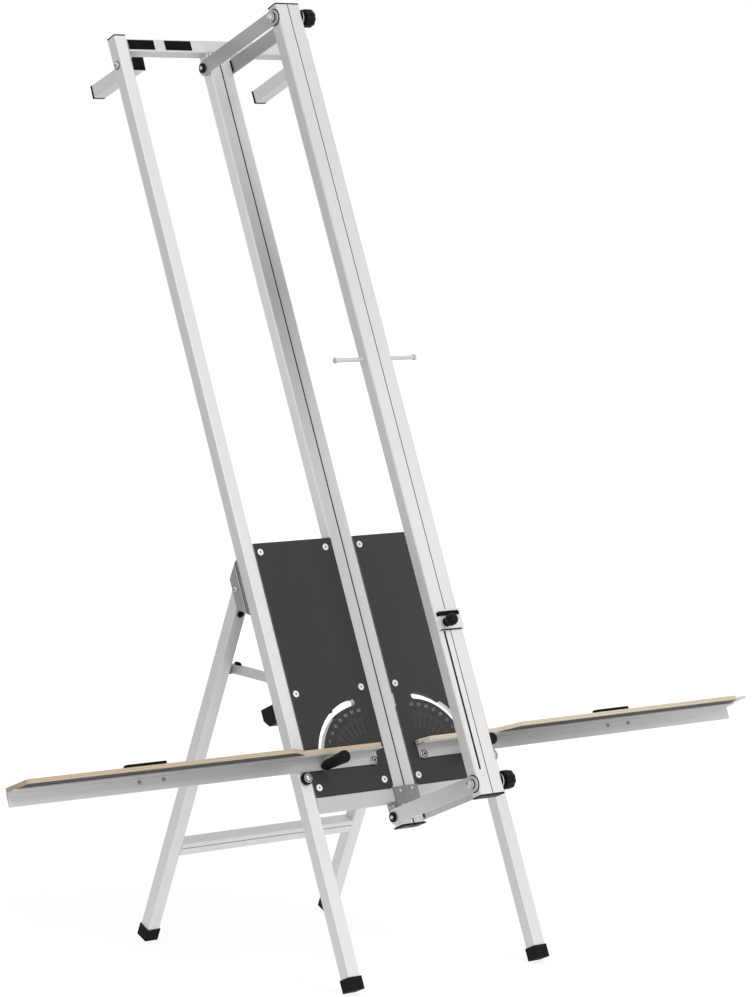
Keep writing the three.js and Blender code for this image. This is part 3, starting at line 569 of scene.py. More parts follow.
def make_looks(settings):
    """All the finishes, by name."""
    pale = tuple(settings.aluminium)
    film = tuple(settings.panel_film)
    black = tuple(settings.black)
    sheet = tuple(settings.sheet)
    for look, (name, tone, roughness, grain, *more) in ALUMINIUM.items():
        tilt = LEG_LEAN if look == "leg" else LEAN
        LOOKS[look] = drawn_aluminium(name, shade(pale, tone), roughness, tilt, grain, *more)
    LOOKS.update({
        "sheet": zinc_sheet("zinc_sheet", sheet),
        # A darker copy of the plated sheet; on the rail bracket its darkness is partly painted
        # shade
        "dark_sheet": zinc_sheet("dark_sheet", shade(sheet, 0.68)),
        "bolt": bolt_steel("bolt_steel", (0.62, 0.62, 0.61)),
        "plastic": moulded_black("black_plastic", black, roughness=0.45),
        "rubber": moulded_black("black_rubber", shade(black, 1.3), roughness=0.7, grain=0.4),
        "plate": moulded_black(
            "plate_black", shade(black, 0.6), roughness=0.35, grain=0.1, gloss=0.06),
        # The panels' cut edges are darkened to 0.45 as painted shade
        "panel": plywood(
            "film_plywood", film, TO_REAR, PLY_UPRIGHT, 1, bare=0.6, pale=(0.45, 0.45, 0.45),
            slotted=True),
        "board": plywood("shelf_plywood", film, UP_TUBE, PLY_LEVEL, 2),
        # The right shelf board's cut edges are lighter as painted light
        "board_right": plywood(
            "shelf_plywood_right", film, UP_TUBE, PLY_LEVEL, 2, pale=(1.2, 1.28, 1.42)),
        "batten": planed_wood("batten_wood", (0.5, 0.37, 0.22)),
        "glazed": glazed("glazed_insulator", (0.8, 0.77, 0.7)),
        "wire": wire_metal("cutting_wire", (0.42, 0.4, 0.38)),
        "white": painted("white_plastic", (0.95, 0.95, 0.94), roughness=0.4),
        "print": painted("scale_print", (0.13, 0.13, 0.13), roughness=0.6),
        "digits": painted("scale_digits", (0.26, 0.26, 0.26), roughness=0.6),
        # Black painted shade for the stop slot, the grooves, the pivot sockets and the gaps
        "painted_shade": painted("painted_groove_shade", (0.004, 0.004, 0.004), roughness=0.8),
    })


def both(*names):
    """The left and the right node of each name."""
    return tuple(f"{name}_{word}" for name in names for _, word in SIDES)


NODE_LOOKS = {
    "tube": ("main_tube_left",),
    "tube_right": ("main_tube_right",),
    "tube_across": ("rear_crossbar",),
    "cross_top": ("crossbar_top",),
    "cross_low": both("crossbar_low"),
    "tube_rear": both("spacer_arm"),
    "leg": both("rear_leg"),
    "rail": ("rail",),
    "bow": ("bow_profile", "depth_clamp"),
    "flat_bar": both("stay_bar"),
    "upper_bar": both("upper_arm"),
    "lower_bar": both("lower_arm"),
    "flat_across": ("bow_handle",),
    "flange_left": ("wing_angle_left",),
    "flange_right": ("wing_angle_right",),
    "sheet": both("hinge_bracket", "stay_seat"),
    "dark_sheet": ("rail_bracket",),
    "bolt": both("wing_pivot", "stay_bolt"),
    "rubber": both("front_foot", "rear_foot", "wing_bumper"),
    "plastic": (
        *both("tube_cap", "wing_grip"), "rail_cap", "bow_cap_top", "bow_cap_bottom",
        "star_knob_top", "star_knob_bottom", "clamp_knob", "power_unit", "rocker_switch",
    ),
    "panel": both("panel"),
    "board": ("wing_board_left",),
    "board_right": ("wing_board_right",),
    "batten": both("batten_mid", "batten_high"),
    "glazed": ("wire_holder_top", "wire_holder_bottom"),
    "wire": ("hot_wire",),
}


def dress_nodes():
    """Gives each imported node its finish."""
    for look, nodes in NODE_LOOKS.items():
        for name in nodes:
            node = frame["nodes"][name]
            node.data.materials.clear()
            node.data.materials.append(LOOKS[look])


def add_object(name, data):
    thing = bpy.data.objects.new(name, data)
    bpy.context.scene.collection.objects.link(thing)
    return thing


def make_piece(name, parts, look, body, place=STANDING, replaces=()):
    """Joins solids into one object, places it and makes it ride on its body."""
    mesh = bpy.data.meshes.new(name)
    whole = bmesh.new()
    for part in parts:
        part.to_mesh(mesh)
        part.free()
        whole.from_mesh(mesh)
    whole.transform(place)
    whole.to_mesh(mesh)
    whole.free()
    mesh.shade_smooth()
    mesh.set_sharp_from_angle(angle=CREASE)
    mesh.materials.append(LOOKS[look])
    piece = add_object(name, mesh)
    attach(piece, body)
    if replaces:
        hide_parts(*replaces)


def colour_of(name, description, default):
    return FloatVectorProperty(
        name=name, description=description, default=default, subtype="COLOR", size=3,
        min=0.0, max=1.0,
    )


class CutterSettings(bpy.types.PropertyGroup):
    """Sizes and colours of the finished looks."""

    aluminium: colour_of("Aluminium", "Colour of the drawn tubes", (0.74, 0.745, 0.75))
    sheet: colour_of("Sheet", "Colour of the plated brackets", (0.36, 0.365, 0.37))
    panel_film: colour_of("Panel film", "Colour of the film on the plywood", (0.009, 0.009, 0.0088))
    black: colour_of("Black", "Colour of the black mouldings", (0.005, 0.005, 0.005))
    rosette_radius: FloatProperty(
        name="Rosette radius", description="Radius of a white screw rosette, in millimetres",
        default=7.5, min=3.0, max=15.0,
    )
    scale_radius: FloatProperty(
        name="Scale radius", description="Radius of the scale's numbers, in millimetres",
        default=112.0, min=60.0, max=125.0,
    )


class StageSettings(bpy.types.PropertyGroup):
    """Camera and light of the photo stage."""

    focal: FloatProperty(
        name="Focal length", description="Lens of the photo camera, in millimetres",
        unit="CAMERA", default=133.29, min=20.0, max=300.0,
    )
    yaw: FloatProperty(
        name="Heading", description="Camera heading, from +Y towards +X",
        subtype="ANGLE", unit="ROTATION", default=math.radians(38.402),
    )
    pitch: FloatProperty(
        name="Pitch", description="How far the camera looks down",
        subtype="ANGLE", unit="ROTATION", default=math.radians(4.665),
    )
    roll: FloatProperty(
        name="Roll", description="Roll of the camera",
        subtype="ANGLE", unit="ROTATION", default=math.radians(0.379),
    )
    camera_place: FloatVectorProperty(
        name="Camera place", description="Where the camera stands", subtype="TRANSLATION",
        unit="LENGTH", size=3, default=(-4.8682, -6.3108, 1.6386),
    )
    key: FloatProperty(
        name="Key light", description="Power of the key light", unit="POWER",
        default=540.0, min=0.0,
    )
    fill: FloatProperty(
        name="Fill light", description="Strength of the room light", default=0.5, min=0.0,
    )
    floor_white: FloatProperty(
        name="Floor white", description="How far the floor's shadows are lifted for the camera",
        subtype="FACTOR", default=0.75, min=0.0, max=1.0,
    )
    floor_bounce: FloatProperty(
        name="Floor bounce", description="How much light the floor throws up near the object",
        subtype="FACTOR", default=0.6, min=0.0, max=1.0,
    )


class CUTTER_OT_finishes(bpy.types.Operator):
    """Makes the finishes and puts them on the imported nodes"""

    bl_idname = "cutter.finishes"
    bl_label = "Finishes"

    def execute(self, context):
        make_looks(context.scene.cutter)
        dress_nodes()
        return {"FINISHED"}


class CUTTER_OT_label_plates(bpy.types.Operator):
    """Adds the two bare plates on the top crossbar"""

    bl_idname = "cutter.label_plates"
    bl_label = "Label plates"

    def execute(self, context):
        middle_z, height = 1776.3, 22.5
        thick, corner = 0.7, 1.0
        for word, middle_x, width in (("left", -201.5, 69.5), ("right", -102.5, 71.0)):
            bm = box(
                (middle_x - width / 2, -thick, middle_z - height / 2),
                (middle_x + width / 2, 0.0, middle_z + height / 2),
            )
            corners = [e for e in bm.edges if abs(e.verts[0].co.y - e.verts[1].co.y) > thick / 2]
            soften(bm, corners, corner, steps=3)
            make_piece(f"label_plate_{word}", [bm], "plate", "frame")
        return {"FINISHED"}


class CUTTER_OT_spacer_caps(bpy.types.Operator):
    """Adds the black end caps of the two spacer arms"""

    bl_idname = "cutter.spacer_caps"
    bl_label = "Spacer arm caps"

    def execute(self, context):
        bolt_y, middle_z = 15.0, ARM_PITCH + 1.0
        tilts = {"left": math.radians(2.5), "right": 0.0}
        length, thick = 165.0, 2.4
        half = TUBE / 2 + 0.2
        lip = half - 4.5
        for side, word in SIDES:
            x = side * (INNER_X - 0.3 - TUBE / 2)
            parts = [
                box((x - half, front, middle_z - half), (x + half, rear, middle_z + half), 0.9, 3)
                for rear, front in ((0.0, -thick), (length + 3.0 * thick, length))
            ]
            parts.append(box(
                (x - lip, -thick - 0.5, middle_z - lip), (x + lip, -thick + 0.2, middle_z + lip),
                edge=0.3,
            ))
            bolt = Matrix.Translation((0.0, bolt_y, middle_z))
            place = STANDING @ bolt @ Matrix.Rotation(tilts[word], 4, "X") @ bolt.inverted()
            make_piece(f"spacer_caps_{word}", parts, "plate", "frame", place)
        return {"FINISHED"}


class CUTTER_OT_frame_bolts(bpy.types.Operator):
    """Adds the bolts of the stand's upright frame"""

    bl_idname = "cutter.frame_bolts"
    bl_label = "Frame bolts"

    def execute(self, context):
        y, z = 16.5, ARM_PITCH + 3.0
        for side, word in SIDES:
            head = cap_screw(8.0, 5.0, "X", (side * OUTER_X, y, z), side)
            make_piece(f"tube_bolt_{word}", head, "bolt", "frame")
            ends = sorted((side * (OUTER_X + 0.1), side * (OUTER_X + 1.3)))
            washer = [ring(10.4, 7.8, *ends, "X", (0.0, y, z), edge=0.3)]
            make_piece(f"tube_washer_{word}", washer, "dark_sheet", "frame")
        return {"FINISHED"}


class CUTTER_OT_arm_pins(bpy.types.Operator):
    """Adds washers, bolt ends and lock nuts at the arm pivots"""

    bl_idname = "cutter.arm_pins"
    bl_label = "Arm pins"

    def execute(self, context):
        left, right = -ARM_OUTER, ARM_OUTER
        washer_radius, washer_gap, strip_half = 18.8, 0.06, 12.5
        for level, z in (("upper", ARM_PITCH), ("lower", 0.0)):
            body = f"{level}_arm"
            rear = (0.0, TUBE / 2, z)
            front = (0.0, BOW_Y, z - BOW_DROP)
            black = [ring(10.8, 5.2, left - 5.2, left - 0.1, "X", rear, edge=1.0)]
            make_piece(f"{level}_pivot_washer", black, "rubber", body)
            bolts = [
                rod(4.2, left - 7.5, left - 1.0, "X", rear, edge=0.8, sides=SMALL_ROUND),
                *hex_bolt(8.2, 6.5, "X", (left - 3.6, BOW_Y, z - BOW_DROP), -1),
                rod(8.5, right, right + 5.5, "X", rear, edge=0.8, sides=6),
                rod(4.6, right, right + 7.5, "X", rear, edge=0.7, sides=SMALL_ROUND),
            ]
            make_piece(f"{level}_pivot_bolts", bolts, "bolt", body)
            # A black ring outside the left arm at the bow pin, black discs between the bow and the
            # arms, and black strips between the rail and the arms
            dark_parts = [ring(10.6, 8.4, left - 1.2, left - 0.1, "X", front, edge=0.3)]
            for low, high in ((BOW_HALF, ARM_INNER), (-ARM_INNER, -BOW_HALF)):
                dark_parts.append(rod(washer_radius, low + washer_gap, high - washer_gap, "X", front))
            for side, _ in SIDES:
                low, high = sorted((side * (RAIL_HALF + 0.3), side * (ARM_INNER - 0.1)))
                dark_parts.append(box(
                    (low, -0.8, z - strip_half), (high, TUBE - 0.5, z + strip_half), edge=0.4))
            make_piece(f"{level}_pivot_dark_parts", dark_parts, "plate", body)
        return {"FINISHED"}


class CUTTER_OT_star_knobs(bpy.types.Operator):
    """Adds the fluted hand knobs on the right of the bow"""

    bl_idname = "cutter.star_knobs"
    bl_label = "Star knobs"

    def execute(self, context):
        radius, boss, flutes, depth, blend = 20.2, 14.0, 9, 1.6, 3.0
        outline = (
            (0.0, 0.0), (12.8, 0.0), (13.4, 0.8), (13.4, 4.8), (15.4, 5.4), (radius - 0.9, 6.8),
            (radius, 9.4), (radius, 24.4), (radius - 0.9, 28.0), (radius - 3.4, 30.4),
            (7.0, 31.2), (6.2, 30.0), (0.0, 30.0),
        )
        start = ARM_OUTER + 1.5
        profile = [(reach, start + height) for reach, height in outline]

        def flute(reach, angle):
            wave = max(0.0, math.cos(angle * flutes)) ** 0.8
            return (reach - depth * wave * min(1.0, (reach - boss) / blend)) / reach

        for word, z in (("top", ARM_PITCH), ("bottom", 0.0)):
            bm = turned(profile, steps=flutes * 10)
            fluted(bm, boss, flute)
            bm.transform(aimed("X", (0.0, BOW_Y, z - BOW_DROP)))
            make_piece(
                f"hand_knob_{word}", [bm], "plastic", f"star_{word}",
                replaces=(f"star_knob_{word}",))
        return {"FINISHED"}


class CUTTER_OT_depth_stop(bpy.types.Operator):
    """Adds the black bar, a black strip of painted shadow under the clamp plate and the ribbed knob
    of the depth stop
    """

    bl_idname = "cutter.depth_stop"
    bl_label = "Depth stop"

    def execute(self, context):
        front = BOW_FRONT - 3.3
        half, low, high, corner = 28.4, 352.8, 361.8, 3.0
        outline = [
            (-half, low), (half, low), (half, high - corner), (half - corner, high),
            (corner - half, high), (-half, high - corner),
        ]
        bar = [
            plate(outline, front + 0.2, front - 5.0, edge=1.2),
            box((-half - 1.2, front - 1.0, low - 1.5), (1.0 - half, front + 8.0, high - 1.5), 0.8),
            box((half - 1.0, front - 1.0, low - 1.0), (half + 1.2, front + 6.0, high - 1.5), 0.8),
        ]
        make_piece("depth_bar", bar, "plate", "clamp")
        # Painted shadow: a black strip under the lower edge of the clamp plate
        lip = [box((-half, front - 0.4, 321.4), (half, front + 1.0, 324.2), edge=0.3)]
        make_piece("clamp_shadow_strip", lip, "plate", "clamp")
        self.knob((-8.0, front, 338.5))
        return {"FINISHED"}

    @staticmethod
    def knob(at):
        """The round knob, with shallow ribs around its widest part."""
        radius, neck, ribs, depth = 13.2, 11.0, 12, 0.035
        bm = turned([
            (0.0, 0.3), (10.0, 0.3), (10.0, 3.0), (7.4, 4.2), (7.2, 7.0), (9.6, 8.4),
            (11.6, 10.6), (radius - 0.5, 13.6), (radius, 17.6), (radius - 0.4, 22.0),
            (radius - 1.8, 26.2), (radius - 4.4, 29.4), (4.6, 31.0), (0.0, 31.4),
        ], steps=ribs * 8)
        fluted(bm, neck, lambda _, angle: 1.0 - depth * (0.5 - 0.5 * math.cos(angle * ribs)))
        bm.transform(aimed("Y", at, -1))
        make_piece("depth_knob", [bm], "plastic", "clamp_screw", replaces=("clamp_knob",))


class CUTTER_OT_bow_trim(bpy.types.Operator):
    """Adds the stop slot and the grooves of bow and rail as black strips of painted shade, and the
    small screw on the bow
    """

    bl_idname = "cutter.bow_trim"
    bl_label = "Bow trim"

    def execute(self, context):
        left, right, low, high = -19.6, -14.6, 21.0, 321.0
        # Painted shade: a black strip where the stop slot runs down the bow
        slot = [plate(
            [(left, low), (right, low), (right, high), (left, high)],
            BOW_FRONT + 0.4, BOW_FRONT - 0.12,
        )]
        make_piece("stop_slot", slot, "painted_shade", "bow")
        # Painted shade: black strips in the grooves of the bow and the rail
        for name, body, half, front, rear, low, high in (
            ("bow_groove", "bow", 0.95, BOW_FRONT + 0.1, BOW_FRONT + 1.1, -31.8, 1749.8),
            ("rail_groove", "frame", 1.75, 0.6, 2.0, -20.8, 1759.4),
        ):
            make_piece(name, [box((-half, front, low), (half, rear, high))], "painted_shade", body)
        screw = cap_screw(2.6, 1.4, "Y", (-13.0, BOW_FRONT, 8.0), -1)
        make_piece("bow_screw", screw, "bolt", "bow")
        return {"FINISHED"}


class CUTTER_OT_rosettes(bpy.types.Operator):
    """Adds the white rosettes and screws that hold the panels"""

    bl_idname = "cutter.rosettes"
    bl_label = "Rosettes"

    def execute(self, context):
        radius = context.scene.cutter.rosette_radius
        columns = {"left": (50.0, 224.0), "right": (43.0, 224.0)}
        rows = (80.0, 285.0, 600.0)
        rim = [
            (0.0, 0.1), (radius, 0.1), (radius, 0.6), (radius - 0.7, 1.5), (radius * 0.62, 1.9),
            (radius * 0.34, 1.4), (radius * 0.32, 0.7), (0.0, 0.7),
        ]
        head = [
            (0.0, 0.5), (radius * 0.32, 0.7), (radius * 0.3, 1.3), (radius * 0.14, 1.4),
            (radius * 0.1, 0.9), (0.0, 0.9),
        ]
        for side, word in SIDES:
            places = [(side * x, PANEL_FRONT, z) for x in columns[word] for z in rows]
            for name, look, profile in (
                ("rosettes", "white", rim), ("rosette_screws", "dark_sheet", head),
            ):
                parts = [turned(profile, "Y", at, SMALL_ROUND, -1) for at in places]
                make_piece(f"{name}_{word}", parts, look, "frame")
        return {"FINISHED"}


class CUTTER_OT_angle_scales(bpy.types.Operator):
    """Adds the angle scales printed on the panels"""

    bl_idname = "cutter.angle_scales"
    bl_label = "Angle scales"

    def execute(self, context):
        radius = context.scene.cutter.scale_radius
        first, zero, last = 18, 28, 88
        front = PANEL_FRONT - 0.12
        for side, word in SIDES:
            marks = [self.mark(side, degree, front) for degree in range(first, last + 1, 2)]
            make_piece(f"scale_lines_{word}", marks, "print", "frame")
            numbers = [
                self.number(side, degree, str(degree - zero), radius, front)
                for degree in range(zero, last + 1, 10)
            ]
            make_piece(f"scale_numbers_{word}", numbers, "digits", "frame")
        return {"FINISHED"}

    @staticmethod
    def mark(side, degree, front):
        """One thin radial line on the panel, longer and wider at every tenth degree."""
        outer = 97.0
        inner, half = (60.0, 0.3) if degree % 10 == 8 else (88.0, 0.16)
        bm = box((inner, front, -half), (outer, PANEL_FRONT + 0.1, half))
        bm.transform(Matrix.Rotation(-math.radians(degree), 4, "Y"))
        if side < 0:
            bmesh.ops.scale(bm, vec=(-1.0, 1.0, 1.0), verts=bm.verts)
            bmesh.ops.reverse_faces(bm, faces=bm.faces)
        bm.transform(Matrix.Translation((side * PIVOT_X, 0.0, PIVOT_Z)))
        return bm

    @staticmethod
    def number(side, degree, label, radius, front):
        """One plain number beside the scale."""
        curve = bpy.data.curves.new("digits", "FONT")
        curve.body = label
        curve.size = 10.5
        curve.align_x = curve.align_y = "CENTER"
        curve.extrude = 0.1
        holder = add_object("digits", curve)
        graph = bpy.context.evaluated_depsgraph_get()
        mesh = bpy.data.meshes.new_from_object(holder.evaluated_get(graph))
        bm = bmesh.new()
        bm.from_mesh(mesh)
        ray = math.radians(degree)
        x = side * (PIVOT_X + radius * math.cos(ray))
        z = PIVOT_Z + radius * math.sin(ray)
        bm.transform(Matrix.Translation((x, front, z)) @ Matrix.Rotation(QUARTER, 4, "X"))
        bpy.data.objects.remove(holder)
        bpy.data.curves.remove(curve)
        bpy.data.meshes.remove(mesh)
        return bm


class CUTTER_OT_wing_trim(bpy.types.Operator):
    """Adds pivots, screws, clips, rubber stops and the end tongue of the shelf wings"""

    bl_idname = "cutter.wing_trim"
    bl_label = "Wing trim"

    def execute(self, context):
        screws = {"left": (-667.0, -607.0), "right": (602.0, 662.5)}
        clips = {"left": (-729.5, -630.5), "right": (524.5, 623.0)}
        screw_z, board_front, board_top = 134.0, -64.3, 154.5
        for side, word in SIDES:
            body = f"wing_{word}"
            heads = []
            for x in screws[word]:
                heads += cap_screw(4.2, 2.4, "Y", (x, WING_FRONT, screw_z), -1)
            make_piece(f"wing_screws_{word}", heads, "dark_sheet", body, WINGS[word])
            self.pivot(side, word)
            first, last = clips[word]
            clip = [box(
                (first, board_front - 0.4, board_top - 0.5),
                (last, board_front + 12.0, board_top + 6.4), edge=1.6,
            )]
            make_piece(f"wing_clip_{word}", clip, "plate", body, WINGS[word])
            self.bumper(side * TUBE_X, word)
        tongue = [box((950.0, -62.0, 146.6), (984.0, -20.0, 151.6), edge=1.0)]
        make_piece("wing_tongue", tongue, "flat_across", "wing_right")
        return {"FINISHED"}

    @staticmethod
    def pivot(side, word):
        """The bolt that a wing turns on, with painted shade of the socket in its head: a black ring
        and a small black disc.
        """
        x = side * PIVOT_X
        axis = (x, 0.0, PIVOT_Z)
        head = cap_screw(9.2, 5.0, "Y", (x, WING_FRONT - 0.1, PIVOT_Z), -1)
        head.append(rod(5.0, WING_FRONT - 0.2, 10.0, "Y", axis))
        make_piece(f"pivot_head_{word}", head, "bolt", "frame", replaces=(f"wing_pivot_{word}",))
        # Painted shade: a black ring and a small black disc in the bolt's head
        socket = [
            rod(2.6, WING_FRONT - 4.7, WING_FRONT - 4.2, "Y", axis),
            ring(7.6, 5.6, WING_FRONT - 5.3, WING_FRONT - 2.0, "Y", axis, edge=0.1),
        ]
        make_piece(f"pivot_socket_{word}", socket, "painted_shade", "frame")

    @staticmethod
    def bumper(x, word):
        """The rubber stop on a main tube, with its bolt and a black ring of painted shade around
        the bolt's head.
        """
        z = 101.7
        rubber = [turned(
            [(0.0, 0.0), (12.2, 0.0), (13.0, 0.8), (13.0, 9.0), (12.2, 9.8), (0.0, 9.8)],
            "Y", (x, -0.3, z), outward=-1,
        )]
        make_piece(f"bumper_{word}", rubber, "rubber", "frame", replaces=(f"wing_bumper_{word}",))
        bolt = hex_bolt(6.6, 3.2, "Y", (x, -10.0, z), -1)
        bolt.append(ring(10.2, 2.0, -11.4, -10.0, "Y", (x, 0.0, z), edge=0.3))
        make_piece(f"bumper_bolt_{word}", bolt, "bolt", "frame")
        # Painted shade: a black ring around the bolt's head
        gap = [ring(8.0, 6.7, -12.0, -11.2, "Y", (x, 0.0, z), edge=0.1)]
        make_piece(f"bumper_gap_{word}", gap, "painted_shade", "frame")


class CUTTER_OT_rail_trim(bpy.types.Operator):
    """Adds the screws, the small clips and the end cap of the rail"""

    bl_idname = "cutter.rail_trim"
    bl_label = "Rail trim"

    def execute(self, context):
        bracket_front = -3.3
        clip_left = -RAIL_HALF - 6.0
        heads = []
        for x, z in ((-16.5, 51.5), (15.4, 53.8), (-18.4, 19.5)):
            heads += cap_screw(3.6, 2.0, "Y", (x, bracket_front, z), -1)
        for y in (10.0, 21.0):
            heads += cap_screw(2.4, 1.2, "X", (clip_left, y, 23.0), -1)
        make_piece("rail_screws", heads, "bolt", "frame")
        clips = [
            box((clip_left, 4.0, 11.0), (-RAIL_HALF - 0.1, 29.0, 29.8), edge=0.6),
            box((-26.0, -2.0, ARM_PITCH + 20.0), (26.0, -0.2, ARM_PITCH + 33.0), edge=0.5),
        ]
        make_piece("rail_clips", clips, "sheet", "frame")
        half, gap, front, rear, low, high = RAIL_HALF + 1.8, 1.9, -1.6, TUBE + 1.8, -24.6, -21.2
        cap = [
            box((-half, front, low), (-gap, rear, high), edge=0.6),
            box((gap, front, low), (half, rear, high), edge=0.6),
            box((-3.0, 24.5, low), (3.0, rear, high), edge=0.6),
        ]
        make_piece("rail_end_cap", cap, "plate", "frame", replaces=("rail_cap",))
        return {"FINISHED"}


class CUTTER_OT_hinge_trim(bpy.types.Operator):
    """Adds the hinge trim, the stay buttons and the power unit's ribs at the rear"""

    bl_idname = "cutter.hinge_trim"
    bl_label = "Rear stand trim"

    def execute(self, context):
        self.power_ribs()
        line = [box((-236.0, -15.3, -649.2), (236.0, -14.9, -647.4))]
        make_piece("crossbar_line", line, "dark_sheet", "rear_stand", LEG)
        for side, word in SIDES:
            self.hinge(side * TUBE_X, word)
            self.stay_button(side, word)
        return {"FINISHED"}

    @staticmethod
    def hinge(middle, word):
        """The bolts of one hinge, a strip of painted highlight and a strip of painted shade along
        each fold, and the leg's rubber buffer.
        """
        hinge_y, hinge_z, cheek, bracket_rear = 52.5, 538.0, 17.8, 32.8
        low, high = 478.0, 590.0
        heads = []
        for out, _ in SIDES:
            heads += cap_screw(6.0, 4.5, "X", (middle + out * cheek, hinge_y, hinge_z), out)
        for z in (505.0, 575.0):
            heads += cap_screw(3.4, 1.8, "Y", (middle, bracket_rear, z), 1)
        make_piece(f"hinge_bolts_{word}", heads, "bolt", "frame")
        # Painted highlight (bright steel) and painted shade (black) strips along the hinge's folds
        for name, look, near, far in (
            ("fold", "bolt", 34.2, 37.4), ("gap", "painted_shade", 31.0, 34.0),
        ):
            strips = []
            for out, _ in SIDES:
                first, last = sorted(middle + out * (cheek + skin) for skin in (-0.3, 0.15))
                strips.append(box((first, near, low), (last, far, high)))
            make_piece(f"hinge_{name}_{word}", strips, look, "frame")
        buffer = [turned([
            (0.0, 0.0), (7.2, 0.0), (8.2, 0.8), (8.2, 2.8), (7.0, 3.8), (4.0, 4.3), (0.0, 4.4),
        ], "Y", (middle, -TUBE / 2, -53.0), SMALL_ROUND, -1)]
        make_piece(f"fold_buffer_{word}", buffer, "rubber", "rear_stand", LEG)

    @staticmethod
    def stay_button(side, word):
        """A flat black button on top of the stay bar, near the leg."""
        length, bar_top, narrow = 176.0, 9.8, 0.44
        start = Vector((side * 221.2, 21.5, 317.0))
        end = Vector((side * 221.2, 197.54, 403.22))
        tilt = math.atan2(end.z - start.z, end.y - start.y)
        button = turned([
            (0.0, 0.0), (9.0, 0.0), (11.4, 1.2), (11.6, 3.0), (9.6, 5.4), (5.0, 6.8), (0.0, 7.2),
        ], steps=SMALL_ROUND)
        bmesh.ops.scale(button, vec=(narrow, 1.0, 1.0), verts=button.verts)
        button.transform(
            Matrix.Translation(start) @ Matrix.Rotation(tilt, 4, "X")
            @ Matrix.Translation((0.0, length, bar_top)))
        make_piece(f"stay_button_{word}", [button], "plate", f"stay_{word}")

    @staticmethod
    def power_ribs():
        """Cooling ribs along the sides and the top of the power unit."""
        left, right, front, back, low, high = -236.0, -116.0, 36.0, 115.0, 244.0, 285.0
        ribs = []
        for step in range(9):
            z = low + 5.0 + step * 4.2
            for near, far in ((left - 1.0, left + 0.5), (right - 0.5, right + 1.0)):
                ribs.append(box((near, front, z), (far, back - 18.0, z + 2.0), edge=0.4))
        for step in range(11):
            x = left + 8.0 + step * 10.0
            ribs.append(box((x, front, high - 0.5), (x + 4.0, back - 6.0, high + 1.0), edge=0.4))
        make_piece("power_ribs", ribs, "plastic", "frame")


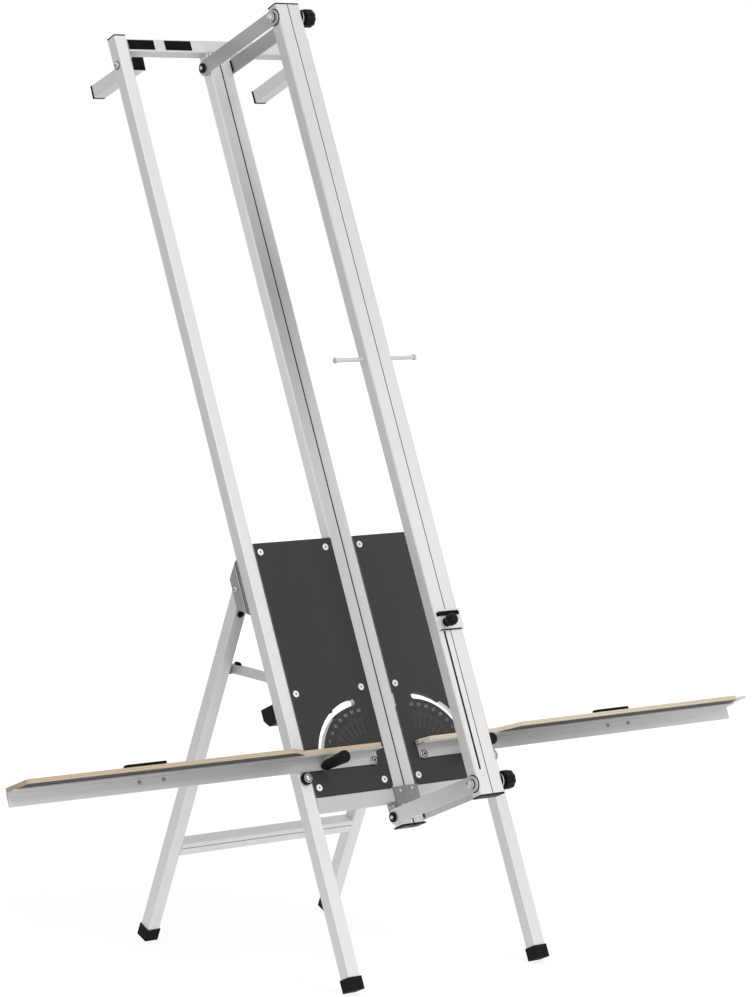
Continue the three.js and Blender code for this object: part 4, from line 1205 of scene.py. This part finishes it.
class CUTTER_OT_stage(bpy.types.Operator):
    """Adds the camera, the pale floor and the studio light"""

    bl_idname = "cutter.stage"
    bl_label = "Photo stage"

    def execute(self, context):
        settings = context.scene.cutter_stage
        self.camera(context, settings)
        self.floor(settings)
        self.lights(settings)
        self.room(context, settings)
        context.scene.view_settings.view_transform = "Standard"
        return {"FINISHED"}

    @staticmethod
    def camera(context, settings):
        yaw, pitch, roll = settings.yaw, settings.pitch, settings.roll
        ahead = Vector((
            math.sin(yaw) * math.cos(pitch), math.cos(yaw) * math.cos(pitch), -math.sin(pitch)))
        level = Vector((math.cos(yaw), -math.sin(yaw), 0.0))
        down = ahead.cross(level)
        right = level * math.cos(roll) + down * math.sin(roll)
        low = down * math.cos(roll) - level * math.sin(roll)
        data = bpy.data.cameras.new("photo_camera")
        data.lens = settings.focal
        data.sensor_width = 36.0
        data.clip_start = 0.1
        data.clip_end = 100.0
        camera = add_object("photo_camera", data)
        turn = Matrix((right, -low, -ahead)).transposed().to_4x4()
        turn.translation = Vector(settings.camera_place)
        camera.matrix_world = turn
        context.scene.camera = camera

    @staticmethod
    def floor(settings):
        """White to the camera, with the shadows lifted, and a little light of its own near by."""
        white_from, white_reach = 1.6, 2.0
        bounce_from, bounce_fall = 1.2, 0.7
        mesh = bpy.data.meshes.new("studio_floor")
        bm = bmesh.new()
        bmesh.ops.create_grid(bm, x_segments=1, y_segments=1, size=30.0)
        bm.to_mesh(mesh)
        bm.free()
        paper = Finish("studio_floor", (0.88, 0.88, 0.88), roughness=0.9)
        seen = paper.node("ShaderNodeLightPath", output="Is Camera Ray")
        place = paper.node("ShaderNodeTexCoord", output="Object")
        reach = paper.node(
            "ShaderNodeVectorMath", {"operation": "LENGTH"}, {0: place}, output="Value")
        far = ((reach - white_from) * (1.0 / white_reach)).clamped()
        share = far * (1.0 - settings.floor_white) + settings.floor_white
        near = 1.0 - ((reach - bounce_from) * bounce_fall).clamped()
        lit = share * seen + (1.0 - seen) * near * settings.floor_bounce
        glow = paper.node("ShaderNodeEmission", inputs={"Color": WHITE, "Strength": 1.15})
        paint = Value(paper, paper.shader.outputs[0])
        white = paper.node("ShaderNodeMixShader", inputs={0: lit, 1: paint, 2: glow})
        paper.feed(paper.tree.nodes["Material Output"].inputs["Surface"], white)
        mesh.materials.append(paper.material)
        ground = add_object("studio_floor", mesh)

    @staticmethod
    def lights(settings):
        middle = (Vector(CAD_BOX[0]) + Vector(CAD_BOX[1])) / 2
        for name, place, size, share in (
            ("key_light", (0.9, -10.5, 11.0), 4.2, 1.0),
            ("front_light", (-0.6, -9.0, 0.9), 3.6, 0.42),
        ):
            data = bpy.data.lights.new(name, "AREA")
            data.energy = settings.key * share
            data.size = size
            lamp = add_object(name, data)
            lamp.location = place
            lamp.rotation_mode = "QUATERNION"
            lamp.rotation_quaternion = (middle - Vector(place)).to_track_quat("-Z", "Y")

    @staticmethod
    def room(context, settings):
        """White to the camera and in reflections, and a weaker fill light on the object."""
        world = bpy.data.worlds.new("studio_room")
        world.use_nodes = True
        world.node_tree.nodes.clear()
        room = Shading(world.node_tree)
        camera, through, glossy = (
            room.node("ShaderNodeLightPath", output=f"Is {kind} Ray")
            for kind in ("Camera", "Transmission", "Glossy"))
        shown = room.maths("MAXIMUM", room.maths("MAXIMUM", camera, through), glossy)
        fill, white = (
            room.node("ShaderNodeBackground", inputs={"Color": WHITE, "Strength": strength})
            for strength in (settings.fill, 1.0))
        blend = room.node("ShaderNodeMixShader", inputs={0: shown, 1: fill, 2: white})
        room.node("ShaderNodeOutputWorld", inputs={"Surface": blend})
        context.scene.world = world


OPERATORS = (
    CUTTER_OT_finishes,
    CUTTER_OT_label_plates,
    CUTTER_OT_spacer_caps,
    CUTTER_OT_frame_bolts,
    CUTTER_OT_arm_pins,
    CUTTER_OT_star_knobs,
    CUTTER_OT_depth_stop,
    CUTTER_OT_bow_trim,
    CUTTER_OT_rosettes,
    CUTTER_OT_angle_scales,
    CUTTER_OT_wing_trim,
    CUTTER_OT_rail_trim,
    CUTTER_OT_hinge_trim,
    CUTTER_OT_stage,
)


class CUTTER_PT_panel(bpy.types.Panel):
    """Lists the steps that dress the cutter"""

    bl_idname = "CUTTER_PT_panel"
    bl_label = "Foam Cutter"
    bl_space_type = "VIEW_3D"
    bl_region_type = "UI"
    bl_category = "Foam Cutter"

    def draw(self, context):
        layout = self.layout
        for group in (context.scene.cutter, context.scene.cutter_stage):
            for name in group.__annotations__:
                layout.prop(group, name)
        for operator in OPERATORS:
            layout.operator(operator.bl_idname)


CLASSES = (CutterSettings, StageSettings, *OPERATORS, CUTTER_PT_panel)


def register():
    for entry in CLASSES:
        bpy.utils.register_class(entry)
    bpy.types.Scene.cutter = PointerProperty(type=CutterSettings)
    bpy.types.Scene.cutter_stage = PointerProperty(type=StageSettings)


def unregister():
    del bpy.types.Scene.cutter_stage
    del bpy.types.Scene.cutter
    for entry in reversed(CLASSES):
        bpy.utils.unregister_class(entry)


def main():
    register()
    for operator in OPERATORS:
        group, name = operator.bl_idname.split(".")
        getattr(getattr(bpy.ops, group), name)()


if __name__ == "__main__":
    main()
